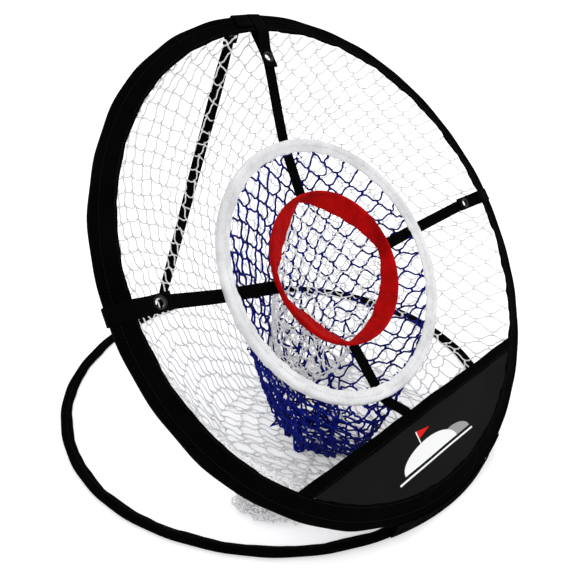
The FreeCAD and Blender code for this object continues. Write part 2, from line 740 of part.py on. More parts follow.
def meshOpenings(shape, around, rows, edges):
    """Staggered diamonds that open a bag's wall between two shares of the way down it."""
    cord = size("meshCord").value
    reach = size("netThick").value * 5.0
    halfShare = (edges[1] - edges[0]) / (rows + 1)
    halfClock = 180.0 / around
    blocks = []
    for row in range(rows):
        share = edges[0] + halfShare * (row + 1)
        for place in range(around):
            clock = halfClock * (2 * place + row % 2)
            ends = []
            for down, across in ((-1, 0), (0, 1), (1, 0), (0, -1)):
                centre, turn, radii = bagRound(*shape, share + halfShare * down)
                ends.append(centre + turn.multVec(clockPoint(radii[0], clock + halfClock * across)))
            middle = (ends[0] + ends[1] + ends[2] + ends[3]) * 0.25
            tall = (ends[2] - ends[0]) * 0.5
            wide = (ends[1] - ends[3]) * 0.5
            inset = cord / 2.0 * math.hypot(tall.Length, wide.Length) / (tall.Length * wide.Length)
            if inset >= 1.0 or min(tall.Length, wide.Length) * 2.0 * (1.0 - inset) < size("meshLeast").value:
                continue
            tall = tall * (1.0 - inset)
            wide = wide * (1.0 - inset)
            face = tall.cross(wide).normalize()
            corners = [middle + one - face * reach for one in (tall, wide, -tall, -wide)]
            prism = Part.Face(Part.makePolygon(corners + corners[:1])).extrude(face * reach * 2.0)
            blocks.append(prism)
    return Part.makeCompound(blocks), len(blocks)


mainTiltAngle = 90.0 - size("mainLean").value
gap = size("clothGap").value
rimRadius = insideHoop.value
rimLevel = (hemBack - size("clothGap") * 2.0).value
floorRadius = size("outerFloorRadius").value
rimCentre = frameAt(mainFrame, 0.0, 0.0, rimLevel).Base
sleeveInside = (size("baseRadius") - size("baseSleeveWidth")).value
floorBack = floorRadius + size("outerFloorInset").value - sleeveInside
floorCentre = FreeCAD.Vector(0, floorBack, size("floorGap").value)
outerShape = (
    (rimCentre, mainTiltAngle, (rimRadius, rimRadius)),
    (floorCentre, 0.0, (floorRadius, floorRadius)),
    size("outerBulge").value,
    size("outerEase").value,
)
openings, openingCount = meshOpenings(outerShape, around=24, rows=7, edges=(0.03, 0.97))
outerNet = bag(*outerShape).cut(openings)
tabLow = (outer - size("tabLength")).value
span = size("tabWidth").value + gap * 4.0
for name in ("top", "right", "left"):
    frame = frameTurned(mainFrame, STRAPS[name][0].value)
    outerNet = outerNet.cut(notch(frame, tabLow, rimRadius + gap, -half.value * 2.5, rimLevel + gap, span))
feature("outer_net", outerNet, FreeCAD.Placement())

middleRim = (size("middleRadius") - size("middleSleeveWidth") - size("clothGap")).value
middleLevel = -(size("middleSleeveHem") / 2.0 + size("clothGap")).value
middleFloor = size("middleFloorRadius").value
middleSpot = FreeCAD.Vector(
    size("middleFloorRight").value,
    floorBack + size("middleFloorBack").value,
    size("middleFloorUp").value,
)
middleNet = bag(
    (frameAt(ringFrame, 0.0, 0.0, middleLevel).Base, mainTiltAngle, (middleRim, middleRim)),
    (middleSpot, 0.0, (middleFloor, middleFloor)),
    0.0,
    size("middleEase").value,
)
strapDepth = (size("middleSleeveTube") / 2.0 + strapThick + size("clothGap") * 3.0).value
for frame, name, reached in strapCuts:
    ringSide = reached - (middleRim - strapEnd.value)
    span = size("strapWidth").value + gap * 4.0
    base = -size("ringRecess").value
    middleNet = middleNet.cut(
        notch(frame, ringSide - strapDepth * 2.0, ringSide + span, base - strapDepth, base, span)
    )
feature("middle_net", middleNet, FreeCAD.Placement())

innerLevel = -(size("innerHemDepth") + size("clothGap") * 2.0).value
innerFloor = size("innerFloorRadius").value
innerSpot = FreeCAD.Vector(
    size("ringOffsetRight").value,
    floorBack + size("innerFloorBack").value,
    size("innerFloorUp").value,
)
innerNet = bag(
    (frameAt(ringFrame, 0.0, 0.0, innerLevel).Base, mainTiltAngle, (cornerHem, midHem)),
    (innerSpot, 0.0, (innerFloor, innerFloor)),
    0.0,
    size("innerEase").value,
)
feature("inner_net", innerNet, FreeCAD.Placement())

# Seam along the front where the two hoops lie together, covered by a sewn tape
stations = 12
tape = size("seamThick").value
baseEdge = size("baseRadius").value + gap
mainEdge = outer.value + gap
wires = []
for step in range(stations + 1):
    x = size("seamHalf").value * (step * 2.0 / stations - 1.0)
    low = FreeCAD.Vector(x, -math.sqrt(baseEdge**2 - x**2), seatCorner)
    high = mainFrame.multVec(
        FreeCAD.Vector(x, -math.sqrt(mainEdge**2 - x**2), (half - corner * 0.4).value)
    )
    out = FreeCAD.Vector(0, -tape, 0)
    corners = [low, high, high + out, low + out]
    wires.append(Part.makePolygon(corners + corners[:1]))
feature("hoop_seam_tape", Part.makeLoft(wires, True, True), FreeCAD.Placement())
doc.recompute()

# Every object is sound, and each labelled piece is one valid solid
PIECES = [
    "base_hoop_spring_band",
    "base_hoop_band_ferrule",
    "base_hoop_sleeve",
    "main_hoop_spring_band",
    "main_hoop_band_ferrule",
    "main_hoop_sleeve",
    "middle_ring_spring_band",
    "middle_ring_band_ferrule",
    "middle_ring_sleeve",
    "inner_ring_spring_band",
    "inner_ring_band_ferrule",
    "inner_ring_sleeve",
    "front_panel",
    "panel_binding",
    "outer_net",
    "middle_net",
    "inner_net",
    "hoop_seam_tape",
    "bottom_strap",
]
for name in ("top", "right", "left", "rear"):
    PIECES += [name + "_tab", name + "_eyelet", name + "_washer", name + "_strap"]
faults = []
for one in doc.Objects:
    if "Invalid" in one.State or "Error" in one.State:
        faults.append(one.Name)
for name in PIECES:
    shape = doc.getObject(name).Shape
    if shape.isNull() or not shape.isValid() or len(shape.Solids) != 1:
        faults.append(name)
if faults:
    raise RuntimeError("faulty: " + ", ".join(faults))
for name in PIECES:
    piece = doc.getObject(name)
    reach = piece.Shape.BoundBox
    ends = ["%.2f" % one for one in (reach.XMin, reach.YMin, reach.ZMin, reach.XMax, reach.YMax, reach.ZMax)]
    print(name, "volume %.1f" % piece.Shape.Volume, "box", " ".join(ends))
    piece.Shape.exportStep("parts/" + name + ".step")
print("hinge height %.3f back %.3f" % (hingeUp.value, hingeBack))
print("strap runs", ", ".join("%s %.1f" % (name, reached) for frame, name, reached in strapCuts))
print("rear strap %.1f at %.2f degrees below level" % (rearRun.Length, math.degrees(fall)))
print("eyelet bores", "%.2f" % (barrel.value - size("eyeletWall").value))
for name in ("top", "right", "left"):
    spot = mainFrame.multVec(clockPoint(eyeletPlace.value, STRAPS[name][0].value))
    print("eyelet", name, "%.3f %.3f %.3f" % tuple(spot))
spot = rearEyeletFrame.Base
print("eyelet rear", "%.3f %.3f %.3f" % tuple(spot), "front normal %.4f %.4f %.4f" % tuple(facing))
print("forward normal", "%.4f %.4f %.4f" % tuple(mainFrame.Rotation.multVec(FreeCAD.Vector(0, 0, 1))))
print("outer net openings", openingCount)
print("pieces", len(PIECES))
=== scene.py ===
import math
from functools import partial
import bpy
import bmesh
import numpy as np
from mathutils import Matrix, Vector


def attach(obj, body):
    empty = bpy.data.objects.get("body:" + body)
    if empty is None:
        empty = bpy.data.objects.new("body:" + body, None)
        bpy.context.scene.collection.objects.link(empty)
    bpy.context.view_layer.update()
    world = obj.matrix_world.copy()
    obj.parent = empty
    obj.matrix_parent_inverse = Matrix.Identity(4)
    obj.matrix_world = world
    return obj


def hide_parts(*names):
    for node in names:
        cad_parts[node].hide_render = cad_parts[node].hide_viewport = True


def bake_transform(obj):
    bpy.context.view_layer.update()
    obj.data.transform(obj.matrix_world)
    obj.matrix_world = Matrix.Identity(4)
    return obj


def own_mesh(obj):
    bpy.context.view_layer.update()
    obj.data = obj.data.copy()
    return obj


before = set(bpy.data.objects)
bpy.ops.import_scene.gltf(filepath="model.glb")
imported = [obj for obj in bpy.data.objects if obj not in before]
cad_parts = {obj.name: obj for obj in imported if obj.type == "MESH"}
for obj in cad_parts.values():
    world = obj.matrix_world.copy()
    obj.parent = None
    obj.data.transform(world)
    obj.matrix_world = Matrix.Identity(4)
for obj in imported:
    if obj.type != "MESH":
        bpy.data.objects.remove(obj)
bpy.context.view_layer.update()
print("frame loaded")

# The leaning hoop's own directions: across, up the hoop and out of its front
lean = math.radians(37.4)
hoopTilt = math.radians(52.6)
acrossWay = np.array([1.0, 0.0, 0.0])
upWay = np.array([0.0, math.sin(lean), math.cos(lean)])
outWay = np.array([0.0, -math.cos(lean), math.sin(lean)])
hoopMiddle = np.array([0.0, -0.2955, 0.0098664]) + 0.305 * upWay
ringMiddle = hoopMiddle - 0.012 * acrossWay - 0.013 * upWay - 0.014 * outWay
floorMiddle = np.zeros(3)
leaning = (acrossWay, upWay, outWay)
level = (acrossWay, np.array([0.0, 1.0, 0.0]), np.array([0.0, 0.0, 1.0]))


def inPlane(middle, ways, right, up, out):
    right, up, out = np.broadcast_arrays(*(np.asarray(one, float) for one in (right, up, out)))
    return middle + right[..., None] * ways[0] + up[..., None] * ways[1] + out[..., None] * ways[2]


def atClock(middle, ways, radius, clock, out):
    angle = np.radians(clock)
    return inPlane(middle, ways, radius * np.sin(angle), radius * np.cos(angle), out)


def ripple(angles, waves, size, seed):
    # a wavy line that closes on itself, made of whole waves round the circle
    rng = np.random.default_rng(seed)
    total = np.zeros_like(angles)
    for count in waves:
        total = total + rng.normal() * np.sin(count * angles + rng.uniform(0, 2 * math.pi))
    return total * size / math.sqrt(len(waves))


def smoothPath(points, times=2):
    # corners cut twice, the ends kept
    points = np.asarray(points, float)
    for _ in range(times):
        near = points[:-1] * 0.78 + points[1:] * 0.22
        far = points[:-1] * 0.22 + points[1:] * 0.78
        cut = np.stack([near, far], 1).reshape(-1, points.shape[1])
        points = np.vstack([points[:1], cut[1:-1], points[-1:]])
    return points


def evenPath(points, step):
    # the same path with points at equal steps
    runs = np.linalg.norm(np.diff(points, axis=0), axis=1)
    along = np.concatenate([[0], np.cumsum(runs)])
    count = max(2, int(round(along[-1] / step)) + 1)
    wanted = np.linspace(0, along[-1], count)
    spaced = [np.interp(wanted, along, points[:, axis]) for axis in range(points.shape[1])]
    return np.stack(spaced, 1), wanted


def newPiece(name, points, faces, places):
    mesh = bpy.data.meshes.new(name)
    mesh.from_pydata([tuple(one) for one in points], [], [tuple(int(k) for k in one) for one in faces])
    layer = mesh.uv_layers.new(name="cloth")
    layer.data.foreach_set("uv", np.asarray(places, np.float32).ravel())
    mesh.validate()
    piece = bpy.data.objects.new(name, mesh)
    bpy.context.collection.objects.link(piece)
    mesh.polygons.foreach_set("use_smooth", [True] * len(mesh.polygons))
    return piece


def gridPiece(name, rows, alongPlaces, acrossPlaces, roundAlong=False, capEnds=False):
    # rows[i][j]: i along the piece, j round its section, whose outline is closed
    rows = np.asarray(rows)
    count, around = rows.shape[:2]
    faces, places = [], []
    for i in range(count if roundAlong else count - 1):
        k = (i + 1) % count
        for j in range(around):
            m = (j + 1) % around
            faces.append((i * around + j, k * around + j, k * around + m, i * around + m))
            a, b = alongPlaces[i], alongPlaces[i + 1]
            c, d = acrossPlaces[j], acrossPlaces[j + 1]
            places += [(a, c), (b, c), (b, d), (a, d)]
    points = rows.reshape(-1, 3)
    if capEnds:
        first = tuple(range(around))
        last = tuple((count - 1) * around + j for j in reversed(range(around)))
        faces += [first, last]
        places += [(alongPlaces[0], acrossPlaces[j]) for j in range(around)]
        places += [(alongPlaces[-1], acrossPlaces[j]) for j in reversed(range(around))]
    return newPiece(name, points, faces, places)


def sectionLengths(section):
    closed = np.vstack([section, section[:1]])
    return np.concatenate([[0], np.cumsum(np.linalg.norm(np.diff(closed, axis=0), axis=1))])


def roundSection(points, fine):
    # a closed outline with its corners rounded
    points = np.asarray(points, float)
    for _ in range(fine):
        after = np.roll(points, -1, axis=0)
        points = np.stack([points * 0.75 + after * 0.25, points * 0.25 + after * 0.75], 1).reshape(-1, 2)
    return points


def turnedPiece(name, middle, ways, section, shift, steps):
    # a section in radius and height, carried round a hoop, each point moved a little by shift
    angles = np.linspace(0, 2 * math.pi, steps, endpoint=False)
    radius = section[:, 0][None, :] + np.zeros((steps, 1))
    height = section[:, 1][None, :] + np.zeros((steps, 1))
    radius, height = shift(angles[:, None], radius, height)
    rows = inPlane(middle, ways, radius * np.sin(angles)[:, None], radius * np.cos(angles)[:, None], height)
    alongPlaces = np.linspace(0, 2 * math.pi * section[:, 0].max(), steps + 1)
    return gridPiece(name, rows, alongPlaces, sectionLengths(section), roundAlong=True)


def fixNormals(piece):
    work = bmesh.new()
    work.from_mesh(piece.data)
    bmesh.ops.recalc_face_normals(work, faces=work.faces)
    work.to_mesh(piece.data)
    work.free()


def ribbonPiece(name, path, sideWay, width, thick, wave=0.0, seed=1):
    # webbing: a flat section with rounded edges, carried along a path
    path, along = evenPath(path, 0.0015)
    tangent = np.gradient(path, axis=0)
    tangent /= np.linalg.norm(tangent, axis=1)[:, None]
    sideWay = np.asarray(sideWay, float)
    if sideWay.ndim == 2:
        # rows of share along the path and side way: the ribbon twists between them
        shares = along / along[-1]
        sideWay = np.stack([np.interp(shares, sideWay[:, 0], sideWay[:, k]) for k in (1, 2, 3)], 1)
    side = sideWay - (tangent * sideWay).sum(1)[:, None] * tangent
    side /= np.linalg.norm(side, axis=1)[:, None]
    face = np.cross(side, tangent)
    half, edge = width / 2, thick / 2
    spots = [(-half, 0), (-half + edge * 0.4, edge * 0.85)]
    spots += [(x, edge) for x in np.linspace(-half + edge, half - edge, 9)]
    spots += [(half - edge * 0.4, edge * 0.85), (half, 0), (half - edge * 0.4, -edge * 0.85)]
    spots += [(x, -edge) for x in np.linspace(half - edge, -half + edge, 9)]
    spots += [(-half + edge * 0.4, -edge * 0.85)]
    section = np.array(spots)
    rng = np.random.default_rng(seed)
    bow = wave * np.sin(along / 0.021 + rng.uniform(0, 6)) * np.sin(along / max(along[-1], 1e-6) * math.pi)
    rows = path[:, None, :] + side[:, None, :] * section[None, :, :1]
    cup = (section[:, 0] / half) ** 2
    lifts = section[:, 1][None, :] + bow[:, None] * (cup[None, :] - 0.4)
    rows = rows + face[:, None, :] * lifts[..., None]
    piece = gridPiece(name, rows, along, sectionLengths(section), capEnds=True)
    fixNormals(piece)
    return piece


def punchHole(piece, spot, way, radius, depth):
    # a round hole through webbing, as an eyelet needs
    way = Vector(way).normalized()
    work = bmesh.new()
    bmesh.ops.create_cone(work, cap_ends=True, segments=40, radius1=radius, radius2=radius, depth=depth)
    work.transform(Matrix.Translation(Vector(spot)) @ way.to_track_quat("Z", "Y").to_matrix().to_4x4())
    mesh = bpy.data.meshes.new("punch")
    work.to_mesh(mesh)
    work.free()
    punch = bpy.data.objects.new("punch", mesh)
    bpy.context.collection.objects.link(punch)
    cut = piece.modifiers.new("hole", "BOOLEAN")
    cut.operation = "DIFFERENCE"
    cut.solver = "EXACT"
    cut.object = punch
    bpy.context.view_layer.update()
    done = bpy.data.meshes.new_from_object(piece.evaluated_get(bpy.context.evaluated_depsgraph_get()))
    piece.modifiers.clear()
    piece.data = done
    done.name = piece.name
    bpy.data.objects.remove(punch)
    done.polygons.foreach_set("use_smooth", [True] * len(done.polygons))


def stitchPiece(name, rowsOfStitches, settings):
    # sewing thread: each stitch is a short rounded bar that dips into the cloth at its ends
    points, faces, count = [], [], 0
    thick, sides = settings["thread"] / 2, 5
    rings = ((0, 0.25, -0.6), (0.18, 0.9, 0.15), (0.5, 1.0, 0.35), (0.82, 0.9, 0.15), (1, 0.25, -0.6))
    for start, end, face in rowsOfStitches:
        run = end - start
        length = np.linalg.norm(run)
        if length < 1e-5:
            continue
        run = run / length
        side = np.cross(face, run)
        for share, scale, lift in rings:
            spot = start + run * length * share + face * thick * lift
            for k in range(sides):
                turn = 2 * math.pi * k / sides
                points.append(spot + (side * math.cos(turn) + face * math.sin(turn)) * thick * scale)
        for i in range(4):
            here, ahead = count + i * sides, count + (i + 1) * sides
            for k in range(sides):
                m = (k + 1) % sides
                faces.append((here + k, here + m, ahead + m, ahead + k))
        faces.append(tuple(count + k for k in reversed(range(sides))))
        faces.append(tuple(count + 4 * sides + k for k in range(sides)))
        count += 5 * sides
    return newPiece(name, points, faces, [(0, 0)] * sum(len(one) for one in faces))


def seamLine(points, faces, settings):
    # stitches along a line that lies on cloth, with the way that the cloth faces there
    path = evenPath(np.asarray(points), settings["pitch"])[0]
    faceRows = np.asarray(faces, float)
    if faceRows.ndim == 1:
        faceRows = np.broadcast_to(faceRows, path.shape)
    else:
        given, wanted = np.linspace(0, 1, len(faceRows)), np.linspace(0, 1, len(path))
        faceRows = np.stack([np.interp(wanted, given, faceRows[:, k]) for k in range(3)], 1)
    rows = []
    for i in range(len(path) - 1):
        run = path[i + 1] - path[i]
        spare = run * (1 - settings["stitch"] / settings["pitch"]) / 2
        face = faceRows[i] - run * (faceRows[i] @ run) / (run @ run)
        rows.append((path[i] + spare, path[i + 1] - spare, face / np.linalg.norm(face)))
    return rows


# Materials
def socketsOf(material):
    material.use_nodes = True
    nodes, links = material.node_tree.nodes, material.node_tree.links
    nodes.clear()
    output = nodes.new("ShaderNodeOutputMaterial")
    shader = nodes.new("ShaderNodeBsdfPrincipled")
    links.new(shader.outputs["BSDF"], output.inputs["Surface"])
    return nodes, links, shader


def mathNode(nodes, links, kind, first, second=None, third=None):
    node = nodes.new("ShaderNodeMath")
    node.operation = kind
    for index, value in enumerate((first, second, third)):
        if value is None:
            continue
        if isinstance(value, (int, float)):
            node.inputs[index].default_value = value
        else:
            links.new(value, node.inputs[index])
    return node.outputs[0]


def flatPlaces(nodes, links):
    # places in the cloth's or cord's own flat size, and as one number for each axis
    places = nodes.new("ShaderNodeTexCoord")
    split = nodes.new("ShaderNodeSeparateXYZ")
    links.new(places.outputs["UV"], split.inputs[0])
    return places, split


def bumpNode(nodes, links, height, strength, distance, under=None):
    node = nodes.new("ShaderNodeBump")
    node.inputs["Strength"].default_value = strength
    node.inputs["Distance"].default_value = distance
    links.new(height, node.inputs["Height"])
    if under is not None:
        links.new(under, node.inputs["Normal"])
    return node.outputs[0]


def roughFrom(nodes, links, value, span, shader):
    node = nodes.new("ShaderNodeMapRange")
    links.new(value, node.inputs["Value"])
    node.inputs["To Min"].default_value = span[0]
    node.inputs["To Max"].default_value = span[1]
    links.new(node.outputs[0], shader.inputs["Roughness"])


def seenRays(nodes, links):
    # 1 for what the camera sees at once or in metal and glass, 0 for the light on the object
    path = nodes.new("ShaderNodeLightPath")
    calc = partial(mathNode, nodes, links)
    direct = calc("MAXIMUM", path.outputs["Is Camera Ray"], path.outputs["Is Glossy Ray"])
    return calc("MAXIMUM", direct, path.outputs["Is Transmission Ray"])


def noiseNode(nodes, links, where, scale, detail, rough):
    node = nodes.new("ShaderNodeTexNoise")
    links.new(where, node.inputs["Vector"])
    node.inputs["Scale"].default_value = scale
    node.inputs["Detail"].default_value = detail
    node.inputs["Roughness"].default_value = rough
    return node.outputs["Fac"]


def rampNode(nodes, links, value, stops):
    node = nodes.new("ShaderNodeValToRGB")
    links.new(value, node.inputs["Fac"])
    ramp = node.color_ramp
    while len(ramp.elements) > 2:
        ramp.elements.remove(ramp.elements[-1])
    for index, (spot, colour) in enumerate(stops):
        element = ramp.elements[index] if index < 2 else ramp.elements.new(spot)
        element.position = spot
        element.color = (*colour, 1.0)
    return node.outputs["Color"]


def clothMaterial(name, settings):
    # woven cloth: threads over and under each other, mottled colour (on the white and red ring cloths its
    # dark stops are painted shade), lint and creases
    material = bpy.data.materials.new(name)
    nodes, links, shader = socketsOf(material)
    calc = partial(mathNode, nodes, links)
    places, split = flatPlaces(nodes, links)
    pitch = settings["pitch"]
    waves = []
    for axis in ("X", "Y"):
        wave = 2 * math.pi / pitch[0 if axis == "X" else 1]
        turns = calc("MULTIPLY", split.outputs[axis], wave)
        waves.append(calc("SINE", turns))
    product = calc("MULTIPLY", waves[0], waves[1])
    ribWave = waves[0 if settings.get("ribs", "along") == "along" else 1]
    ribs = calc("MULTIPLY", ribWave, settings.get("rib", 0.0))
    weave = calc("ADD", product, ribs)
    body = places.outputs["Object"]
    wide = noiseNode(nodes, links, body, settings["mottleScale"], 4.0, 0.6)
    fine = noiseNode(nodes, links, body, 900.0, 2.0, 0.6)
    dark, mid, light = settings["colours"]
    tone = calc("MULTIPLY_ADD", fine, 0.35, calc("MULTIPLY", wide, 0.65))
    toned = calc("MULTIPLY_ADD", weave, settings["weaveTone"], tone)
    colour = rampNode(nodes, links, toned, [(0.28, dark), (0.72, light), (0.5, mid)])
    links.new(colour, shader.inputs["Base Color"])
    roughFrom(nodes, links, wide, settings["rough"], shader)
    crease = noiseNode(nodes, links, body, settings["creaseScale"], 3.0, 0.55)
    creased = bumpNode(nodes, links, crease, settings["creaseBump"], 0.002)
    woven = bumpNode(nodes, links, weave, settings["weaveBump"], 0.0004, creased)
    links.new(woven, shader.inputs["Normal"])
    shader.inputs["Sheen Weight"].default_value = settings.get("sheen", 0.0)
    shader.inputs["Sheen Roughness"].default_value = 0.5
    shader.inputs["Specular IOR Level"].default_value = settings.get("gloss", 0.3)
    return material


def badgeOn(material, badge):
    # a plain printed picture of a green with a flag, placed by the cloth's own flat size in metres
    nodes, links = material.node_tree.nodes, material.node_tree.links
    shader = next(one for one in nodes if one.type == "BSDF_PRINCIPLED")
    calc = partial(mathNode, nodes, links)
    split = flatPlaces(nodes, links)[1]
    across = calc("SUBTRACT", split.outputs["X"], badge["middle"][0])
    up = calc("SUBTRACT", split.outputs["Y"], badge["middle"][1])

    def within(value, low, high):
        over = calc("GREATER_THAN", value, low)
        return calc("MULTIPLY", over, calc("LESS_THAN", value, high))

    def mound(place, wide, tall, base):
        right = calc("DIVIDE", calc("SUBTRACT", across, place), wide)
        high = calc("DIVIDE", calc("SUBTRACT", up, base), tall)
        squares = calc("ADD", calc("MULTIPLY", right, right), calc("MULTIPLY", high, high))
        inside = calc("LESS_THAN", squares, 1.0)
        return calc("MULTIPLY", inside, calc("GREATER_THAN", high, 0.0))

    def bar(left, right, low, high):
        return calc("MULTIPLY", within(across, left, right), within(up, low, high))

    def pennant(left, right, middle, half):
        run = calc("DIVIDE", calc("SUBTRACT", right, across), right - left)
        offMiddle = calc("ABSOLUTE", calc("SUBTRACT", up, middle))
        inside = calc("LESS_THAN", offMiddle, calc("MULTIPLY", run, half))
        return calc("MULTIPLY", inside, within(across, left, right))

    shapes = {"mound": mound, "bar": bar, "pennant": pennant}
    colour = shader.inputs["Base Color"].links[0].from_socket
    for kind, sizes, paint in badge["shapes"]:
        mix = nodes.new("ShaderNodeMix")
        mix.data_type = "RGBA"
        links.new(shapes[kind](*sizes), mix.inputs[0])
        links.new(colour, mix.inputs[6])
        mix.inputs[7].default_value = (*paint, 1)
        colour = mix.outputs[2]
    links.new(colour, shader.inputs["Base Color"])


def cordMaterial(name, settings):
    # twisted cord: strands that wind round it, and a fine grain in its colour
    material = bpy.data.materials.new(name)
    nodes, links, shader = socketsOf(material)
    calc = partial(mathNode, nodes, links)
    places, split = flatPlaces(nodes, links)
    around = calc("MULTIPLY", split.outputs["Y"], 2 * math.pi * 3)
    along = calc("MULTIPLY_ADD", split.outputs["X"], 2 * math.pi / settings["twist"], around)
    strands = calc("SINE", along)
    body = places.outputs["Object"]
    wide = noiseNode(nodes, links, body, 24.0, 3.0, 0.6)
    fine = noiseNode(nodes, links, body, 1500.0, 2.0, 0.6)
    tone = calc("MULTIPLY_ADD", fine, 0.4, calc("MULTIPLY", wide, 0.6))
    toned = calc("MULTIPLY_ADD", strands, settings["strandTone"], tone)
    dark, mid, light = settings["colours"]
    colour = rampNode(nodes, links, toned, [(0.25, dark), (0.75, light), (0.5, mid)])
    links.new(colour, shader.inputs["Base Color"])
    shader.inputs["Roughness"].default_value = settings["rough"]
    twisted = bumpNode(nodes, links, strands, settings.get("bump", 0.5), 0.0003)
    links.new(twisted, shader.inputs["Normal"])
    shader.inputs["Sheen Weight"].default_value = settings.get("sheen", 0.1)
    shader.inputs["Specular IOR Level"].default_value = settings.get("gloss", 0.3)
    return material


def metalMaterial(name, settings):
    # pressed metal with a thin finish, rubbed a little brighter here and there
    material = bpy.data.materials.new(name)
    nodes, links, shader = socketsOf(material)
    places = nodes.new("ShaderNodeTexCoord")
    wide = noiseNode(nodes, links, places.outputs["Object"], 160.0, 3.0, 0.6)
    fine = noiseNode(nodes, links, places.outputs["Object"], 2200.0, 2.0, 0.5)
    colour = rampNode(nodes, links, wide, [(0.3, settings["colours"][0]), (0.75, settings["colours"][1])])
    links.new(colour, shader.inputs["Base Color"])
    roughFrom(nodes, links, wide, settings["rough"], shader)
    grained = bumpNode(nodes, links, fine, 0.15, 0.0002)
    links.new(grained, shader.inputs["Normal"])
    shader.inputs["Metallic"].default_value = settings["metal"]
    return material


def dress(piece, material):
    piece.data.materials.clear()
    piece.data.materials.append(material)


def fitOut(piece, material, body, node=None):
    dress(piece, material)
    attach(piece, body)
    if node is not None:
        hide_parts(node)


def greys(*tones):
    return tuple((tone, tone, tone) for tone in tones)


blackCloth = clothMaterial("blackSleeveCloth", {
    "colours": greys(0.0004, 0.0009, 0.002), "pitch": (0.0011, 0.0009), "weaveTone": 0.05,
    "weaveBump": 0.35, "mottleScale": 26.0, "rough": (0.8, 0.95), "creaseScale": 60.0,
    "creaseBump": 0.35, "gloss": 0.012})
webbing = clothMaterial("blackWebbing", {
    "colours": greys(0.0004, 0.0009, 0.002), "pitch": (0.0022, 0.0016), "weaveTone": 0.08,
    "weaveBump": 0.8, "mottleScale": 40.0, "rib": 0.8, "ribs": "across", "rough": (0.7, 0.85),
    "creaseScale": 40.0, "creaseBump": 0.1, "gloss": 0.015})
bindingTape = clothMaterial("blackBindingTape", {
    "colours": greys(0.0003, 0.0007, 0.0016), "pitch": (0.0012, 0.0012), "weaveTone": 0.06,
    "weaveBump": 0.5, "mottleScale": 40.0, "rib": 0.5, "rough": (0.75, 0.9), "creaseScale": 70.0,
    "creaseBump": 0.2, "gloss": 0.012})
panelCloth = clothMaterial("panelCloth", {
    "colours": greys(0.0022, 0.0034, 0.0055), "pitch": (0.0007, 0.0007), "weaveTone": 0.04,
    "weaveBump": 0.25, "mottleScale": 14.0, "rough": (0.5, 0.65), "creaseScale": 18.0,
    "creaseBump": 0.12, "gloss": 0.05})
badgeWhite, badgeGrey = greys(0.80, 0.30)
badgeOn(panelCloth, {"middle": (-0.010, -0.241), "shapes": (
    ("mound", (0.038, 0.030, 0.0125, -0.0115), badgeGrey),
    ("mound", (-0.008, 0.050, 0.0195, -0.0115), badgeWhite),
    ("bar", (-0.071, 0.071, -0.0165, -0.0145), badgeWhite),
    ("bar", (-0.0190, -0.0172, 0.008, 0.0215), badgeWhite),
    ("pennant", (-0.0172, 0.006, 0.0172, 0.0043), (0.62, 0.012, 0.008)))})
# its grey dark stop stands for the ring's shading, which the even light flattens: painted shade in soft
# random patches, over the cloth's own mottled tone
whiteCloth = clothMaterial("whiteSleeveCloth", {
    "colours": ((0.46, 0.46, 0.465), (0.66, 0.66, 0.665), (0.80, 0.80, 0.80)),
    "pitch": (0.0009, 0.0009), "weaveTone": 0.03, "weaveBump": 0.2, "mottleScale": 30.0,
    "rough": (0.75, 0.92), "creaseScale": 75.0, "creaseBump": 0.4, "sheen": 0.05, "gloss": 0.15})
# its dark stop is the shaded red and its light stop the lit red: painted shade, scattered in soft random
# patches
redCloth = clothMaterial("redRingCloth", {
    "colours": ((0.13, 0.0004, 0.0004), (0.36, 0.0012, 0.0012), (0.52, 0.003, 0.003)),
    "pitch": (0.0009, 0.0009), "weaveTone": 0.05, "weaveBump": 0.4, "mottleScale": 45.0,
    "rough": (0.78, 0.92), "creaseScale": 90.0, "creaseBump": 0.5, "gloss": 0.06})
whiteCord = cordMaterial("whiteCord", {
    "colours": ((0.76, 0.76, 0.765), (0.86, 0.86, 0.865), (0.93, 0.93, 0.93)),
    "twist": 0.0024, "strandTone": 0.08, "rough": 0.75, "bump": 0.15})
blueCord = cordMaterial("blueCord", {
    "colours": ((0.0005, 0.0018, 0.075), (0.0010, 0.0045, 0.17), (0.003, 0.014, 0.33)),
    "twist": 0.0026, "strandTone": 0.15, "rough": 0.65, "sheen": 0.0, "gloss": 0.1})
threadMaterial = cordMaterial("blackThread", {
    "colours": greys(0.002, 0.004, 0.007), "twist": 0.0006, "strandTone": 0.1, "rough": 0.7,
    "sheen": 0.0, "gloss": 0.08})
whiteThread = cordMaterial("whiteThread", {
    "colours": greys(0.55, 0.68, 0.8), "twist": 0.0006, "strandTone": 0.1, "rough": 0.6})
eyeletMetal = metalMaterial("darkEyeletMetal", {
    "colours": ((0.006, 0.006, 0.0065), (0.030, 0.030, 0.031)), "rough": (0.3, 0.45), "metal": 1.0})
springSteel = metalMaterial("springSteel", {
    "colours": ((0.3, 0.3, 0.31), (0.5, 0.5, 0.52)), "rough": (0.3, 0.5), "metal": 1.0})
ferruleSteel = metalMaterial("ferruleSteel", {
    "colours": ((0.4, 0.4, 0.41), (0.6, 0.6, 0.62)), "rough": (0.25, 0.4), "metal": 1.0})
print("materials made")

# Bands, ferrules, eyelets and washers keep their solids' shape and get a metal
metalEndings = {"_spring_band": springSteel, "_band_ferrule": ferruleSteel,
                "_eyelet": eyeletMetal, "_washer": eyeletMetal}
for nodeName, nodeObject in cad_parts.items():
    for ending, material in metalEndings.items():
        if nodeName.endswith(ending):
            for place in nodeObject.material_slots:
                place.material = material

sewing = {"thread": 0.0007, "pitch": 0.0036, "stitch": 0.0027}


def sew(name, rows, thread, body):
    fitOut(stitchPiece(name, rows, sewing), thread, body)


def boxSeam(spots, face):
    # stitches from corner to corner
    rows = []
    for one, two in zip(spots[:-1], spots[1:]):
        rows += seamLine([one, two], face, sewing)
    return rows


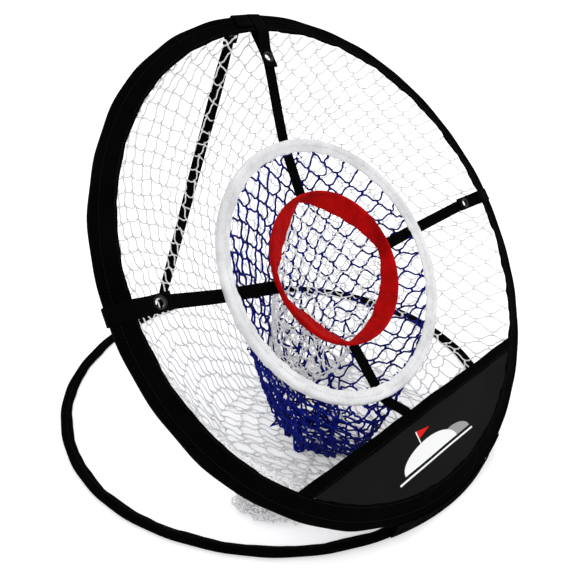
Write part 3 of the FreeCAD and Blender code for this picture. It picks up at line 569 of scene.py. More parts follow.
# Sleeves of the two hoops
mainSleeve = {"outer": 0.305, "steps": 720, "kinks": 0.0005, "hemRipple": 0.0007, "slump": 0.0006}
section = roundSection([
    (0.3046, -0.0036), (0.3053, 0.0), (0.3046, 0.0036), (0.3004, 0.0040), (0.2975, 0.0032),
    (0.2950, 0.0042), (0.2880, 0.0064), (0.2808, 0.0082), (0.2806, 0.0056), (0.2880, 0.0038),
    (0.2950, 0.0006), (0.2975, -0.0014), (0.3004, -0.0040),
], 2)


def mainShift(angles, radius, height):
    s = mainSleeve
    inward = np.clip((s["outer"] - radius) / 0.024, 0, 1)
    radius = radius + ripple(angles, (5, 9, 14, 23, 31), s["kinks"], 4) * (1 - inward)
    radius = radius + ripple(angles, (11, 19, 37, 58), s["hemRipple"] * 0.6, 5) * inward
    height = height + ripple(angles, (17, 29, 53, 88, 131), s["hemRipple"], 6) * inward ** 1.5
    height = height + ripple(angles, (7, 12, 21), s["slump"], 7) * np.sin(inward * math.pi)
    return radius, height


mainHoopSleeve = turnedPiece("mainHoopSleeve", hoopMiddle, leaning, section, mainShift, mainSleeve["steps"])
fixNormals(mainHoopSleeve)
fitOut(mainHoopSleeve, blackCloth, "target", "main_hoop_sleeve")

baseSleeve = {"outer": 0.2975, "steps": 720, "kinks": 0.0006, "hemRipple": 0.0006}
section = roundSection([
    (0.2952, 0.0002), (0.2978, 0.0012), (0.2980, 0.0062), (0.2950, 0.0078), (0.2920, 0.0070),
    (0.2900, 0.0060), (0.2846, 0.0036), (0.2832, 0.0020), (0.2846, 0.0003),
], 2)


def baseShift(angles, radius, height):
    s = baseSleeve
    inward = np.clip((s["outer"] - radius) / 0.014, 0, 1)
    radius = radius + ripple(angles, (5, 8, 13, 24, 33), s["kinks"], 14)
    radius = radius + ripple(angles, (21, 39, 67), s["hemRipple"], 15) * inward
    lift = np.clip(height / 0.0075, 0, 1)
    height = height + np.abs(ripple(angles, (19, 31, 57, 93), s["hemRipple"], 16)) * inward * lift
    return radius, height


baseHoopSleeve = turnedPiece("baseHoopSleeve", floorMiddle, level, section, baseShift, baseSleeve["steps"])
fixNormals(baseHoopSleeve)
fitOut(baseHoopSleeve, blackCloth, "base", "base_hoop_sleeve")

# Two rows of stitches on the leaning hoop, beside its band and at its hem, and one on the flat hoop
rows = []
circle = np.linspace(0, 360, 721)
for radius, height in ((0.2972, 0.0041), (0.2836, 0.0081)):
    rows += seamLine(atClock(hoopMiddle, leaning, radius, circle, height), outWay, sewing)
sew("mainHoopStitches", rows, threadMaterial, "target")
rows = seamLine(atClock(floorMiddle, level, 0.2896, circle, 0.0064), level[2], sewing)
sew("baseHoopStitches", rows, threadMaterial, "base")
print("hoop sleeves made")

# White sleeve of the middle ring: soft, creased across, with a flat hem
middleSleeve = {"outer": 0.162, "steps": 640, "creases": 0.0005, "kinks": 0.0004}
section = roundSection([
    (0.1612, -0.0044), (0.1622, 0.0), (0.1612, 0.0044), (0.1580, 0.0050), (0.1545, 0.0042),
    (0.1500, 0.0026), (0.1462, 0.0013), (0.1452, 0.0), (0.1462, -0.0013), (0.1500, -0.0026),
    (0.1545, -0.0042), (0.1580, -0.0050),
], 2)


def middleShift(angles, radius, height):
    s = middleSleeve
    inward = np.clip((s["outer"] - radius) / 0.016, 0, 1)
    twist = angles + inward * 0.05
    puff = ripple(twist, (23, 41, 67, 90, 127), s["creases"], 24)
    puff = puff * np.sin(np.clip(inward, 0.15, 1) * math.pi)
    height = height + puff * np.sign(height)
    radius = radius + ripple(twist, (7, 13, 27, 44), s["kinks"], 25) * (1 - inward * 0.3)
    radius = radius + ripple(angles, (33, 51, 83), s["kinks"], 26) * inward
    return radius, height


middleRingSleeve = turnedPiece(
    "middleRingSleeve", ringMiddle, leaning, section, middleShift, middleSleeve["steps"])
fixNormals(middleRingSleeve)
fitOut(middleRingSleeve, whiteCloth, "target", "middle_ring_sleeve")
rows = seamLine(atClock(ringMiddle, leaning, 0.1532, circle, 0.0040), outWay, sewing)
sew("middleRingStitches", rows, whiteThread, "target")

# Red cloth of the inner ring: a roll round its band and a funnel drawn in between the straps
innerCloth = {
    "clocks": (-2.4, 90.0, 197.0, 273.6), "corner": 0.0892, "middles": (0.0730, 0.0755, 0.0710, 0.0695),
    "depth": 0.013, "steps": 540, "neck": 0.0905,
    "roll": ((0.0921, -0.0036), (0.0938, -0.0035), (0.0947, -0.002), (0.0949, 0.0002),
             (0.0945, 0.0022), (0.0935, 0.0036), (0.0919, 0.0038), (0.0905, 0.0028)),
}


def hemRadius(clock):
    # the drawn hem: an arc from strap to strap through a point drawn in between them
    spots = list(innerCloth["clocks"]) + [innerCloth["clocks"][0] + 360.0]
    clock = (clock - spots[0]) % 360.0 + spots[0]
    corner = innerCloth["corner"]
    for start, end, middle in zip(spots[:-1], spots[1:], innerCloth["middles"]):
        if start <= clock <= end:
            break
    half = math.radians((end - start) / 2)
    turn = math.radians(clock - (start + end) / 2)
    sideways, outward = corner * math.sin(half), corner * math.cos(half)
    # centre of the arc on the middle line, from its chord and its drawn-in middle point
    if abs(outward - middle) <= 1e-6:
        return middle / math.cos(turn)
    centre = (sideways**2 + outward**2 - middle**2) / (2 * (outward - middle))
    size = abs(centre - middle)
    root = math.sqrt(max(size**2 - (centre * math.sin(turn)) ** 2, 0))
    first, second = centre * math.cos(turn) - root, centre * math.cos(turn) + root
    return min((abs(one - corner * 0.5 - middle * 0.5), one) for one in (first, second) if one > 0)[1]


def clothOutline(hem, lift, fold, small):
    # round the band, along the front of the funnel to its hem and back behind it
    neck, depth = innerCloth["neck"], innerCloth["depth"]

    def spot(share, wider, lower):
        radius = neck + (hem - neck) * share + wider
        height = 0.0022 - (depth + 0.002) * share ** 0.8 - lower
        return radius + lift * share, height + fold * math.sin(share * 2.6) + small * share

    shares = (0.12, 0.25, 0.4, 0.55, 0.7, 0.85, 0.97)
    outline = list(innerCloth["roll"])
    outline += [spot(share, 0.0, 0.0) for share in shares]
    outline.append((hem + lift, -depth - 0.0002 + small))
    outline += [spot(share, 0.0006, 0.0013) for share in reversed(shares)]
    outline.append((neck, -0.0024))
    return np.array(outline)


hemRow = np.array([hemRadius(one) for one in np.linspace(0, 360, innerCloth["steps"], endpoint=False)])
angles = np.linspace(0, 2 * math.pi, innerCloth["steps"], endpoint=False)
rows = []
for index, angle in enumerate(angles):
    hem = hemRow[index]
    fold = float(ripple(np.array([angle]), (23, 38, 57, 80), 0.0006, 33)[0])
    small = float(ripple(np.array([angle]), (41, 66, 92), 0.0002, 34)[0])
    lift = float(ripple(np.array([angle]), (7, 12, 19), 0.0006, 35)[0])
    outline = clothOutline(hem, lift, fold, small)
    right, up = outline[:, 0] * math.sin(angle), outline[:, 0] * math.cos(angle)
    rows.append(inPlane(ringMiddle, leaning, right, up, outline[:, 1]))
alongPlaces = np.linspace(0, 2 * math.pi * 0.09, innerCloth["steps"] + 1)
innerRingSleeve = gridPiece("innerRingSleeve", rows, alongPlaces, sectionLengths(outline), roundAlong=True)
fixNormals(innerRingSleeve)
fitOut(innerRingSleeve, redCloth, "target", "inner_ring_sleeve")
print("target rings made")

# Webbing tabs round the leaning hoop, each folded to two plies and stitched
straps = {
    "top": (3.2, -2.4), "right": (91.0, 90.0), "left": (275.2, 273.6), "bottom": (None, 197.0),
}
tabs = {"width": 0.018, "thick": 0.00118, "eyelet": 0.251, "hole": 0.0056, "seam": (0.2398, 0.2600, 0.0072)}
tabPath = smoothPath([
    (0.2380, -0.0004), (0.2500, -0.0004), (0.2612, -0.0004), (0.2690, 0.0032), (0.2800, 0.0087),
    (0.2870, 0.0078), (0.2960, 0.0050), (0.3035, 0.0046), (0.3062, 0.0030), (0.3062, -0.0030),
    (0.3035, -0.0046), (0.2975, -0.0044), (0.2780, -0.0028), (0.2612, -0.0016), (0.2500, -0.0016),
    (0.2380, -0.0016),
])
for name, (clock, _) in straps.items():
    if clock is None:
        continue
    angle = math.radians(clock)
    outwards = acrossWay * math.sin(angle) + upWay * math.cos(angle)
    sideWay = np.cross(outWay, outwards)
    path = hoopMiddle + tabPath[:, :1] * outwards + tabPath[:, 1:] * outWay
    tab = ribbonPiece(name + "Tab", path, sideWay, tabs["width"], tabs["thick"])
    spot = hoopMiddle + outwards * tabs["eyelet"] - outWay * 0.001
    punchHole(tab, spot, outWay, tabs["hole"], 0.02)
    fitOut(tab, webbing, "target", name + "_tab")
    near, far, side = tabs["seam"]
    corners = [(near, -side), (near, side), (far, side), (far, -side), (near, -side)]
    rows = boxSeam([hoopMiddle + outwards * a + sideWay * b + outWay * 0.0002 for a, b in corners], outWay)
    sew(name + "TabStitches", rows, threadMaterial, "target")

# Straps, each from the back of the red ring, behind the white ring, to a tab or to the panel
strapSizes = {"width": 0.015, "thick": 0.0014, "lap": 0.009, "end": 0.0899, "flat": 0.004,
              "behind": -0.0188, "tip": -0.0176, "ringOuter": 0.162, "ringInner": 0.146}
ringAt = np.array([-0.012, -0.013])
for name, (clock, ringClock) in straps.items():
    turn = math.radians(ringClock)
    near = ringAt + strapSizes["end"] * np.array([math.sin(turn), math.cos(turn)])
    if clock is None:
        far, farLevel, lap = np.array([-0.026, -0.202]), 0.0057, 0.007
    else:
        far = tabs["eyelet"] * np.array([math.sin(math.radians(clock)), math.cos(math.radians(clock))])
        farLevel, lap = -0.0022, strapSizes["lap"]
    run = near - far
    reach = np.linalg.norm(run)
    run = run / reach
    skew = abs(run[0] * math.cos(turn) - run[1] * math.sin(turn))
    tip = reach - strapSizes["width"] / 2 * skew
    start = reach - (strapSizes["ringOuter"] + strapSizes["flat"] - strapSizes["end"])
    end = reach - (strapSizes["ringInner"] - strapSizes["flat"] - strapSizes["end"])
    half = strapSizes["thick"] / 2
    profile = [(place, farLevel - half) for place in (-lap, 0.0, lap)]
    profile += [(place, strapSizes["behind"] - half) for place in (start, end)]
    profile = smoothPath(profile + [(tip, strapSizes["tip"] - half)])
    right, up = far[0] + run[0] * profile[:, 0], far[1] + run[1] * profile[:, 0]
    path = inPlane(hoopMiddle, leaning, right, up, profile[:, 1])
    sideWay = -run[1] * acrossWay + run[0] * upWay
    wide, thick = strapSizes["width"], strapSizes["thick"]
    strap = ribbonPiece(name + "Strap", path, sideWay, wide, thick, 0.00035, 40 + len(name))
    if clock is not None:
        spot = hoopMiddle + far[0] * acrossWay + far[1] * upWay + outWay * (farLevel - half)
        punchHole(strap, spot, outWay, tabs["hole"], 0.006)
    fitOut(strap, webbing, "target", name + "_strap")
print("tabs and straps made")

# Front panel: one sheet of cloth, sewn to the hoop's hem and bound along its straight edge
panel = {"radius": 0.2812, "top": -0.197, "level": 0.0070, "thick": 0.0010, "sag": 0.0032,
         "rowsUp": 56, "rowsAcross": 120}
heights = np.linspace(-panel["radius"] + 0.0004, panel["top"], panel["rowsUp"])
front, back = [], []
for height in heights:
    half = math.sqrt(max(panel["radius"] ** 2 - height**2, 1e-8))
    right = np.linspace(-half, half, panel["rowsAcross"])
    rim = np.clip((panel["radius"] - np.hypot(right, height)) / 0.03, 0, 1)
    edge = np.clip((panel["top"] - height) / 0.02, 0, 1)
    hollow = -panel["sag"] * rim * (2 - rim) * (0.35 + 0.65 * edge)
    pull = 0.0006 * np.sin(right / 0.017 + 3 * np.sin(height / 0.03)) * rim * edge
    pull = pull + 0.0009 * np.sin(right / 0.045 + height / 0.02 + 1) * rim * edge
    out = panel["level"] + hollow + pull
    front.append(inPlane(hoopMiddle, leaning, right, height, out + panel["thick"] / 2))
    back.append(inPlane(hoopMiddle, leaning, right, height, out - panel["thick"] / 2))
front, back = np.array(front), np.array(back)
up, across = front.shape[:2]
points = np.vstack([front.reshape(-1, 3), back.reshape(-1, 3)])
faces, places = [], []
flat = np.stack([(front @ acrossWay), (front - hoopMiddle) @ upWay], -1).reshape(-1, 2)
flat = np.vstack([flat, flat])
shift = up * across
for i in range(up - 1):
    for j in range(across - 1):
        a, d = i * across + j, (i + 1) * across + j
        b, c = a + 1, d + 1
        faces.append((a, b, c, d))
        faces.append((shift + d, shift + c, shift + b, shift + a))
border = [j for j in range(across)] + [i * across + across - 1 for i in range(1, up)]
border += [(up - 1) * across + j for j in range(across - 2, -1, -1)]
border += [i * across for i in range(up - 2, 0, -1)]
for one, two in zip(border, border[1:] + border[:1]):
    faces.append((two, one, shift + one, shift + two))
places = [tuple(flat[k]) for one in faces for k in one]
frontPanel = newPiece("frontPanel", points, faces, places)
fixNormals(frontPanel)
fitOut(frontPanel, panelCloth, "target", "front_panel")

# Binding folded over the panel's straight edge, with a row of stitches near its lower edge
binding = {"low": -0.209, "high": -0.195, "front": 0.0083, "back": 0.0057, "half": 0.2019,
           "reach": 0.2818}
outline = roundSection([
    (binding["low"], binding["front"]), (binding["low"] + 0.006, binding["front"] + 0.0003),
    (binding["high"] - 0.001, binding["front"] + 0.0002), (binding["high"] + 0.0002, 0.0070),
    (binding["high"] - 0.001, binding["back"] - 0.0002), (binding["low"] + 0.006, binding["back"]),
    (binding["low"], binding["back"]), (binding["low"], binding["back"] + 0.0006),
    (binding["high"] - 0.0016, 0.0064), (binding["high"] - 0.0016, 0.0076),
    (binding["low"], binding["front"] - 0.0006),
], 1)
stations = np.linspace(-binding["half"], binding["half"], 240)
rows = []
for right in stations:
    wave = 0.0004 * math.sin(right / 0.011) + 0.0004 * math.sin(right / 0.029 + 1)
    limit = np.sqrt(np.maximum(binding["reach"] ** 2 - outline[:, 0] ** 2, 0))
    spot = np.clip(right, -limit, limit)
    rows.append(inPlane(hoopMiddle, leaning, spot, outline[:, 0] + wave, outline[:, 1] + wave * 0.5))
panelBinding = gridPiece("panelBinding", rows, stations, sectionLengths(outline), capEnds=True)
fixNormals(panelBinding)
fitOut(panelBinding, bindingTape, "target", "panel_binding")
line = np.linspace(-0.190, 0.190, 200)
sewnLine = inPlane(hoopMiddle, leaning, line, -0.2065 + 0.0003 * np.sin(line / 0.02), 0.00865)
rows = seamLine(sewnLine, outWay, sewing)
sew("bindingStitches", rows, threadMaterial, "target")
print("panel made")

# Rear tab and strap, from the top of the leaning hoop down to the back of the flat one
rear = {"right": -0.005, "tabWidth": 0.022, "width": 0.015, "thick": 0.0014, "tabThick": 0.00118,
        "seam": (0.0085, 0.0320, 0.0090), "behind": 0.0019, "netRoom": 0.0040}
along = np.array([0.0, 0.40273, -0.91532])
facing = np.array([0.0, -0.91532, -0.40273])
nose = hoopMiddle + rear["right"] * acrossWay + 0.3054 * upWay - 0.0023 * outWay


def onTop(radius, out):
    return hoopMiddle + rear["right"] * acrossWay + radius * upWay + out * outWay


path = [onTop(0.2880, 0.0078), onTop(0.2960, 0.0050), onTop(0.3035, 0.0047), onTop(0.3062, 0.0024)]
path += [nose - facing * 0.0006 + along * step for step in (0.001, 0.006, 0.014, 0.024, 0.034)]
rearTab = ribbonPiece("rearTab", smoothPath(path), acrossWay, rear["tabWidth"], rear["tabThick"])
eyeletSpot = nose + along * 0.018
punchHole(rearTab, eyeletSpot - facing * 0.0006, facing, tabs["hole"], 0.006)
fitOut(rearTab, webbing, "target", "rear_tab")
near, far, side = rear["seam"]
corners = [(near, -side), (far, -side), (far, side), (near, side), (near, -side)]
rows = boxSeam([nose + along * a + acrossWay * b + facing * 0.0001 for a, b in corners], facing)
sew("rearTabStitches", rows, threadMaterial, "target")

middle = -facing * rear["behind"]
path = [nose + along * step + middle for step in (0.009, 0.018, 0.030, 0.12, 0.25, 0.38, 0.50)]
lowEnd = ((0.2925, 0.0092), (0.2962, 0.0086), (0.2984, 0.0068), (0.2988, 0.0042), (0.2988, 0.0018))
path += [np.array([rear["right"], y, z]) for y, z in lowEnd]
turned = (0.72, -0.69, 0.0)
twist = [(0.0, 1, 0, 0), (0.05, 1, 0, 0), (0.17, *turned), (0.84, *turned), (0.95, 1, 0, 0), (1.0, 1, 0, 0)]
rearStrap = ribbonPiece("rearStrap", smoothPath(path), twist, rear["width"], rear["thick"], 0.0008, 77)
punchHole(rearStrap, eyeletSpot + middle, facing, tabs["hole"], 0.006)
dress(rearStrap, webbing)
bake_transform(rearStrap)
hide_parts("rear_strap")

# Tape over the seam where the two hoops lie together
tape = {"half": 0.104, "thick": 0.0010, "steps": 120, "lowRadius": 0.2978, "highRadius": 0.3053}
rows = []
for right in np.linspace(-tape["half"], tape["half"], tape["steps"]):
    lowDrop = math.sqrt(tape["lowRadius"] ** 2 - right**2)
    highDrop = math.sqrt(tape["highRadius"] ** 2 - right**2)
    low = np.array([right, -lowDrop, 0.0016])
    high = hoopMiddle + right * acrossWay - highDrop * upWay + 0.0030 * outWay
    path = np.array([low + (high - low) * share for share in np.linspace(0, 1, 9)])
    path[:, 1] += 0.0007 * np.sin(np.linspace(0, math.pi, 9)) * math.sin(right / 0.004)
    outer = path + np.array([0, -tape["thick"], 0])
    rows.append(np.vstack([outer, path[::-1]]))
stations = np.linspace(0, tape["half"] * 2, tape["steps"])
hoopSeamTape = gridPiece("hoopSeamTape", rows, stations, sectionLengths(rows[60][:, 1:]), capEnds=True)
fixNormals(hoopSeamTape)
dress(hoopSeamTape, bindingTape)
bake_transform(hoopSeamTape)
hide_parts("hoop_seam_tape")
print("rear strap and seam made")


# Nets: knotted cord, laid in square meshes on the surface of its bag
leastHeight = 0.0002


def layNet(net, bagPoint, endPoint):
    # square meshes laid in a bag: columns that lean as they hang, rows that slope across it
    grid = np.radians(np.arange(0, 361, 2.0))
    shares = np.linspace(0, 1, 41)
    surface = bagPoint(*np.meshgrid(grid, shares, indexing="ij"))
    wallRuns = np.linalg.norm(np.diff(surface, axis=1), axis=2).sum(1)
    endRuns = np.linalg.norm(endPoint(grid) - surface[:, -1], axis=1)

    def depths(angle):
        angle = np.mod(angle, 2 * math.pi)
        return np.interp(angle, grid, wallRuns), np.interp(angle, grid, endRuns)

    def place(angle, down):
        wall, end = depths(angle)
        rest = np.clip((down - wall) / end, 0, 1)[..., None]
        return bagPoint(angle, np.clip(down / wall, 0, 1)) * (1 - rest) + endPoint(angle) * rest

    around, bar = net["columns"], net["bar"]
    slope, slopeClock = net["rowSlope"][0], math.radians(net["rowSlope"][1])
    taller, tallerClock = net["taller"][0], math.radians(net["taller"][1])
    rowSpan = range(-int(slope / bar) - 2, int((wallRuns + endRuns).max() / bar + slope / bar) + 3)
    column, row = np.meshgrid(np.arange(around), np.array(rowSpan), indexing="ij")
    start = 2 * math.pi * column / around
    angle = start.copy()
    for _ in range(60):
        down = row * bar * (1 + taller * np.cos(angle - tallerClock)) + slope * np.sin(angle - slopeClock)
        hang = np.clip(down, 0, None)
        drawn = start.copy()
        for size, clock, wide, fade in net["gathers"]:
            gap = (start - math.radians(clock) + math.pi) % (2 * math.pi) - math.pi
            drawn = drawn - size * gap * np.exp(-(gap / math.radians(wide)) ** 2) * np.exp(-hang / fade)
        leanOver = net["lean"][0] + net["lean"][1] * np.cos(angle - math.radians(net["lean"][2]))
        angle = 0.5 * angle + 0.5 * (drawn - leanOver * hang / net["radius"])
    down = row * bar * (1 + taller * np.cos(angle - tallerClock)) + slope * np.sin(angle - slopeClock)
    whole = sum(depths(angle))
    inside = (down > 0.3 * bar) & (down < whole - 0.35 * bar)
    number = np.full(column.shape, -1)
    number[inside] = np.arange(inside.sum())
    points = [place(angle[inside], down[inside])]
    bars, pins = [], []
    for i in range(around):
        for j in range(len(rowSpan)):
            for m, n in (((i + 1) % around, j), (i, j + 1)):
                if n == len(rowSpan):
                    continue
                one, two = number[i, j], number[m, n]
                if one >= 0 and two >= 0:
                    bars.append((one, two))
                elif one >= 0 or two >= 0:
                    # a bar that crosses the rim ends there, sewn to it
                    inner, outer = ((i, j), (m, n)) if one >= 0 else ((m, n), (i, j))
                    gap = (angle[outer] - angle[inner] + math.pi) % (2 * math.pi) - math.pi
                    if down[outer] > 0.3 * bar:
                        left, past = whole[inner] - down[inner], whole[outer] - down[outer]
                        pins.append(endPoint(np.array(angle[inner] + gap * left / max(left - past, left))))
                    else:
                        share = min(down[inner] / (down[inner] - down[outer]), 1.0)
                        pins.append(bagPoint(np.array(angle[inner] + gap * share), np.array(0.0)))
                    pin = int(inside.sum()) + len(pins) - 1
                    bars.append((one, pin) if one >= 0 else (pin, two))
    points = np.vstack(points + [np.array(pins)])
    free = np.arange(len(points)) < inside.sum()
    rng = np.random.default_rng(net["seed"])
    crumple, crumpleFrom, crumpleOver = net["crumple"]
    rough = net["stir"] + crumple * np.clip((down[inside] - crumpleFrom) / crumpleOver, 0, 1)
    points[free] += rng.normal(0, 1, (int(free.sum()), 3)) * rough[:, None]
    deep = np.zeros(len(points))
    deep[free] = np.clip(down[inside] / 0.05, 0, 1)
    where = np.zeros(len(points))
    where[free] = angle[inside]
    wave = ripple(where, (9, 14, 22, 31), net["waves"], net["seed"]) * deep
    points += wave[:, None] * np.array([0.3, 0.9, 0.0])
    points[:, 2] = np.maximum(points[:, 2], net["bottom"])
    print(net["name"], "knots", len(points), "bars", len(bars))
    return points, np.array(bars)


def netPatch(middle, sideWay, downWay, sizes, net, seed):
    # a crumpled strip of the same net, gathered along one edge
    wide, deep, columns, rows, rough = sizes
    rng = np.random.default_rng(seed)
    points, bars = [], []
    for i in range(columns):
        for j in range(rows):
            share = i / (columns - 1) - 0.5
            bulge = 0.45 + 0.55 * math.cos(share * 2.6)
            spread = 1 + 0.25 * j / (rows - 1)
            spot = middle + sideWay * wide * share * spread + downWay * deep * j / (rows - 1) * bulge
            points.append(spot + rng.normal(0, rough * (0.4 + 0.6 * j / (rows - 1)), 3))
            if i + 1 < columns:
                bars.append((i * rows + j, (i + 1) * rows + j))
            if j + 1 < rows:
                bars.append((i * rows + j, i * rows + j + 1))
    points = np.array(points)
    points[:, 2] = np.maximum(points[:, 2], net["bottom"])
    return points, np.array(bars)


def knotShape():
    work = bmesh.new()
    bmesh.ops.create_icosphere(work, subdivisions=1, radius=1.0)
    shape = np.array([tuple(one.co) for one in work.verts])
    faces = np.array([[one.index for one in face.verts] for face in work.faces])
    work.free()
    return shape, faces


def unit(rows):
    return rows / (np.linalg.norm(rows, axis=-1, keepdims=True) + 1e-9)


def netPiece(name, points, bars, net, wanted=None):
    # every knot is a short slanting lump: two cords come in at one end of it and two leave at the other
    chosen = bars if wanted is None else bars[wanted]
    rng = np.random.default_rng(net["seed"] + 1)
    through = np.zeros((len(points), 3))
    straight = unit(points[chosen[:, 1]] - points[chosen[:, 0]])
    np.add.at(through, chosen[:, 0], straight)
    np.add.at(through, chosen[:, 1], straight)
    through = unit(through)
    start = points[chosen[:, 0]] + through[chosen[:, 0]] * net["knotReach"]
    end = points[chosen[:, 1]] - through[chosen[:, 1]] * net["knotReach"]
    run = end - start
    length = np.linalg.norm(run, axis=1) + 1e-9
    way = run / length[:, None]
    lift = np.array([0.0, 0.0, 1.0]) + rng.normal(0, 0.2, (len(chosen), 3))
    hang = unit(lift - (lift * way).sum(1)[:, None] * way)
    side = np.cross(way, hang)
    spare = np.clip(net["bar"] - 2 * net["knotReach"] - length, 0, net["bar"] * 0.5)
    slack = np.minimum(np.sqrt(spare * net["bar"]) * 0.45, net["slack"])
    bow = rng.normal(0, 1, len(chosen))
    sides, rings = net["sides"], len(net["bends"])
    alongShares = np.linspace(0, 1, rings)
    rows = []
    for share, bend in zip(alongShares, net["bends"]):
        curve = bend * net["bow"] * length
        sag = math.sin(share * math.pi) * (slack + net["sag"])
        sideways = side * (sag * bow)[:, None] * 0.6
        centre = start + run * share + hang * (curve - sag * 0.5)[:, None] + sideways
        thick = net["cord"] / 2 * (1.15 if share in (0, 1) else 1.0)
        for k in range(sides):
            turn = 2 * math.pi * (k / sides + share * 0.3)
            rows.append(centre + (hang * math.cos(turn) + side * math.sin(turn)) * thick)
    rows = np.array(rows).transpose(1, 0, 2)
    count = len(chosen)
    cordPoints = rows.reshape(-1, 3)
    base = np.arange(count) * sides * rings
    quads, quadPlaces = [], []
    for i in range(rings - 1):
        for k in range(sides):
            m = (k + 1) % sides
            corners = (i * sides + k, i * sides + m, (i + 1) * sides + m, (i + 1) * sides + k)
            quads.append(np.stack([base + one for one in corners], 1))
            a, b = alongShares[i] * length, alongShares[i + 1] * length
            c, d = np.full(count, k / sides), np.full(count, (k + 1) / sides)
            quadPlaces.append(np.stack([a, c, a, d, b, d, b, c], 1).reshape(count, 4, 2))
    quads = np.concatenate(quads)
    quadPlaces = np.concatenate(quadPlaces).reshape(-1, 2)
    caps = np.concatenate([
        np.stack([base + k for k in reversed(range(sides))], 1),
        np.stack([base + (rings - 1) * sides + k for k in range(sides)], 1),
    ])
    shape, shapeFaces = knotShape()
    knots = np.unique(chosen)
    longWay = unit(through[knots] + rng.normal(0, 0.15, (len(knots), 3)))
    wideWay = unit(np.cross(longWay, rng.normal(0, 1, (len(knots), 3))))
    deepWay = np.cross(longWay, wideWay)
    size = net["knot"] / 2 * rng.uniform(0.88, 1.12, (len(knots), 1))
    reach = net["knotReach"] + net["cord"] * 0.7
    broad = shape[None, :, 0:1] * wideWay[:, None, :] + shape[None, :, 1:2] * deepWay[:, None, :] * 0.85
    lumps = points[knots][:, None, :] + shape[None, :, 2:3] * longWay[:, None, :] * reach
    lumps = lumps + size[:, None, :] * broad
    lumpBase = len(cordPoints) + np.arange(len(knots)) * len(shape)
    lumpFaces = (shapeFaces[None] + lumpBase[:, None, None]).reshape(-1, 3)
    allPoints = np.vstack([cordPoints, lumps.reshape(-1, 3)])
    allPoints[:, 2] = np.maximum(allPoints[:, 2], leastHeight)
    loops = np.concatenate([quads.ravel(), caps.ravel(), lumpFaces.ravel()])
    sizes = np.concatenate([np.full(len(quads), 4), np.full(len(caps), sides), np.full(len(lumpFaces), 3)])
    places = np.vstack([quadPlaces, np.zeros((caps.size, 2)), rng.uniform(0, 0.01, (lumpFaces.size, 2))])
    mesh = bpy.data.meshes.new(name)
    mesh.vertices.add(len(allPoints))
    mesh.vertices.foreach_set("co", allPoints.astype(np.float32).ravel())
    mesh.loops.add(len(loops))
    mesh.loops.foreach_set("vertex_index", loops.astype(np.int32))
    mesh.polygons.add(len(sizes))
    mesh.polygons.foreach_set("loop_start", np.concatenate([[0], np.cumsum(sizes)[:-1]]).astype(np.int32))
    mesh.update(calc_edges=True)
    layer = mesh.uv_layers.new(name="cord")
    layer.data.foreach_set("uv", places.astype(np.float32).ravel())
    mesh.polygons.foreach_set("use_smooth", [True] * len(sizes))
    mesh.validate()
    piece = bpy.data.objects.new(name, mesh)
    bpy.context.collection.objects.link(piece)
    print(name, "triangles", int((sizes - 2).sum()))
    return piece


def bagBetween(rimMiddle, rimRadius, floorSpot, floorRadius, swell, ease):
    # a bag like the solid's, with rounds of its own that go from the rim's tilt to level
    def point(angle, share):
        angle, share = np.asarray(angle, float), np.asarray(share, float)
        centre = rimMiddle * (1 - share)[..., None] + floorSpot * share[..., None]
        centre = centre + np.array([0, swell, 0]) * np.sin(math.pi * share)[..., None]
        tilt = hoopTilt * (1 - share**ease)
        radius = (rimRadius(angle) if callable(rimRadius) else rimRadius) * (1 - share) + floorRadius * share
        right, up = radius * np.sin(angle), radius * np.cos(angle)
        return centre + np.stack([right, up * np.cos(tilt), up * np.sin(tilt)], -1)
    return point


def seamBetween(one, two):
    # the closed bottom: each side of the bag ends at its own place on one line
    one, two = np.array(one), np.array(two)
    clock = math.atan2(two[0] - one[0], two[1] - one[1])

    def point(angle):
        return (one + two) / 2 + (two - one) / 2 * np.cos(np.asarray(angle, float) - clock)[..., None]
    return point


def netBag(net, middle, rimRadius):
    rimMiddle, foot = middle + net["rimOut"] * outWay, np.array(net["foot"])
    return bagBetween(rimMiddle, rimRadius, foot, net["footRadius"], net["swell"], net["ease"])


def bellied(plainBag, belly):
    # the bag blows out to one side on its way down
    size, clock, narrow, low, way = belly

    def point(angle, share):
        near = ((1 + np.cos(np.asarray(angle, float) - math.radians(clock))) / 2) ** narrow
        out = size * near * np.sin(math.pi * np.asarray(share, float) ** low)
        return plainBag(angle, share) + out[..., None] * np.array(way)
    return point


def hang(piece, material, node, slot, middle, keep):
    # dress the net, put it on the target body with its own mesh and hide its solid; the middle given here is
    # not used
    dress(piece, material)
    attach(piece, "target")
    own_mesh(piece)
    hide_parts(node)


# White net of the leaning hoop; lean is how far a column leans, rowSlope how far a row drops round the bag
outerNet = {
    "name": "outer net", "columns": 84, "bar": 0.0218, "radius": 0.2795, "lean": (0.09, 0.31, 80.0),
    "rowSlope": (0.213, 325.0), "crumple": (0.0, 0.0, 1.0), "taller": (0.17, 288.0), "seed": 3,
    "gathers": ((0.75, 254.0, 8.0, 9.0), (0.6, 238.0, 6.0, 9.0), (0.8, 103.0, 12.0, 0.07),
                (-0.42, 305.0, 55.0, 9.0), (0.22, 60.0, 55.0, 9.0)),
    "belly": (0.075, 332.0, 2.2, 0.8, (-0.25, 0.97, 0.0)), "rimOut": 0.0028,
    "foot": (-0.004, -0.104, 0.003), "footRadius": 0.140, "swell": 0.030, "ease": 1.3,
    "seam": ((-0.128, -0.165, 0.004), (0.115, -0.035, 0.004)), "stir": 0.0011, "waves": 0.0035,
    "bottom": 0.0026, "cord": 0.0019, "knot": 0.0036, "knotReach": 0.0022, "sides": 6,
    "bends": (0, 0.45, 0.1, -0.45, 0), "bow": 0.13, "slack": 0.003, "sag": 0.0012,
}
outerBag = bellied(netBag(outerNet, hoopMiddle, outerNet["radius"]), outerNet["belly"])
points, bars = layNet(outerNet, outerBag, seamBetween(*outerNet["seam"]))
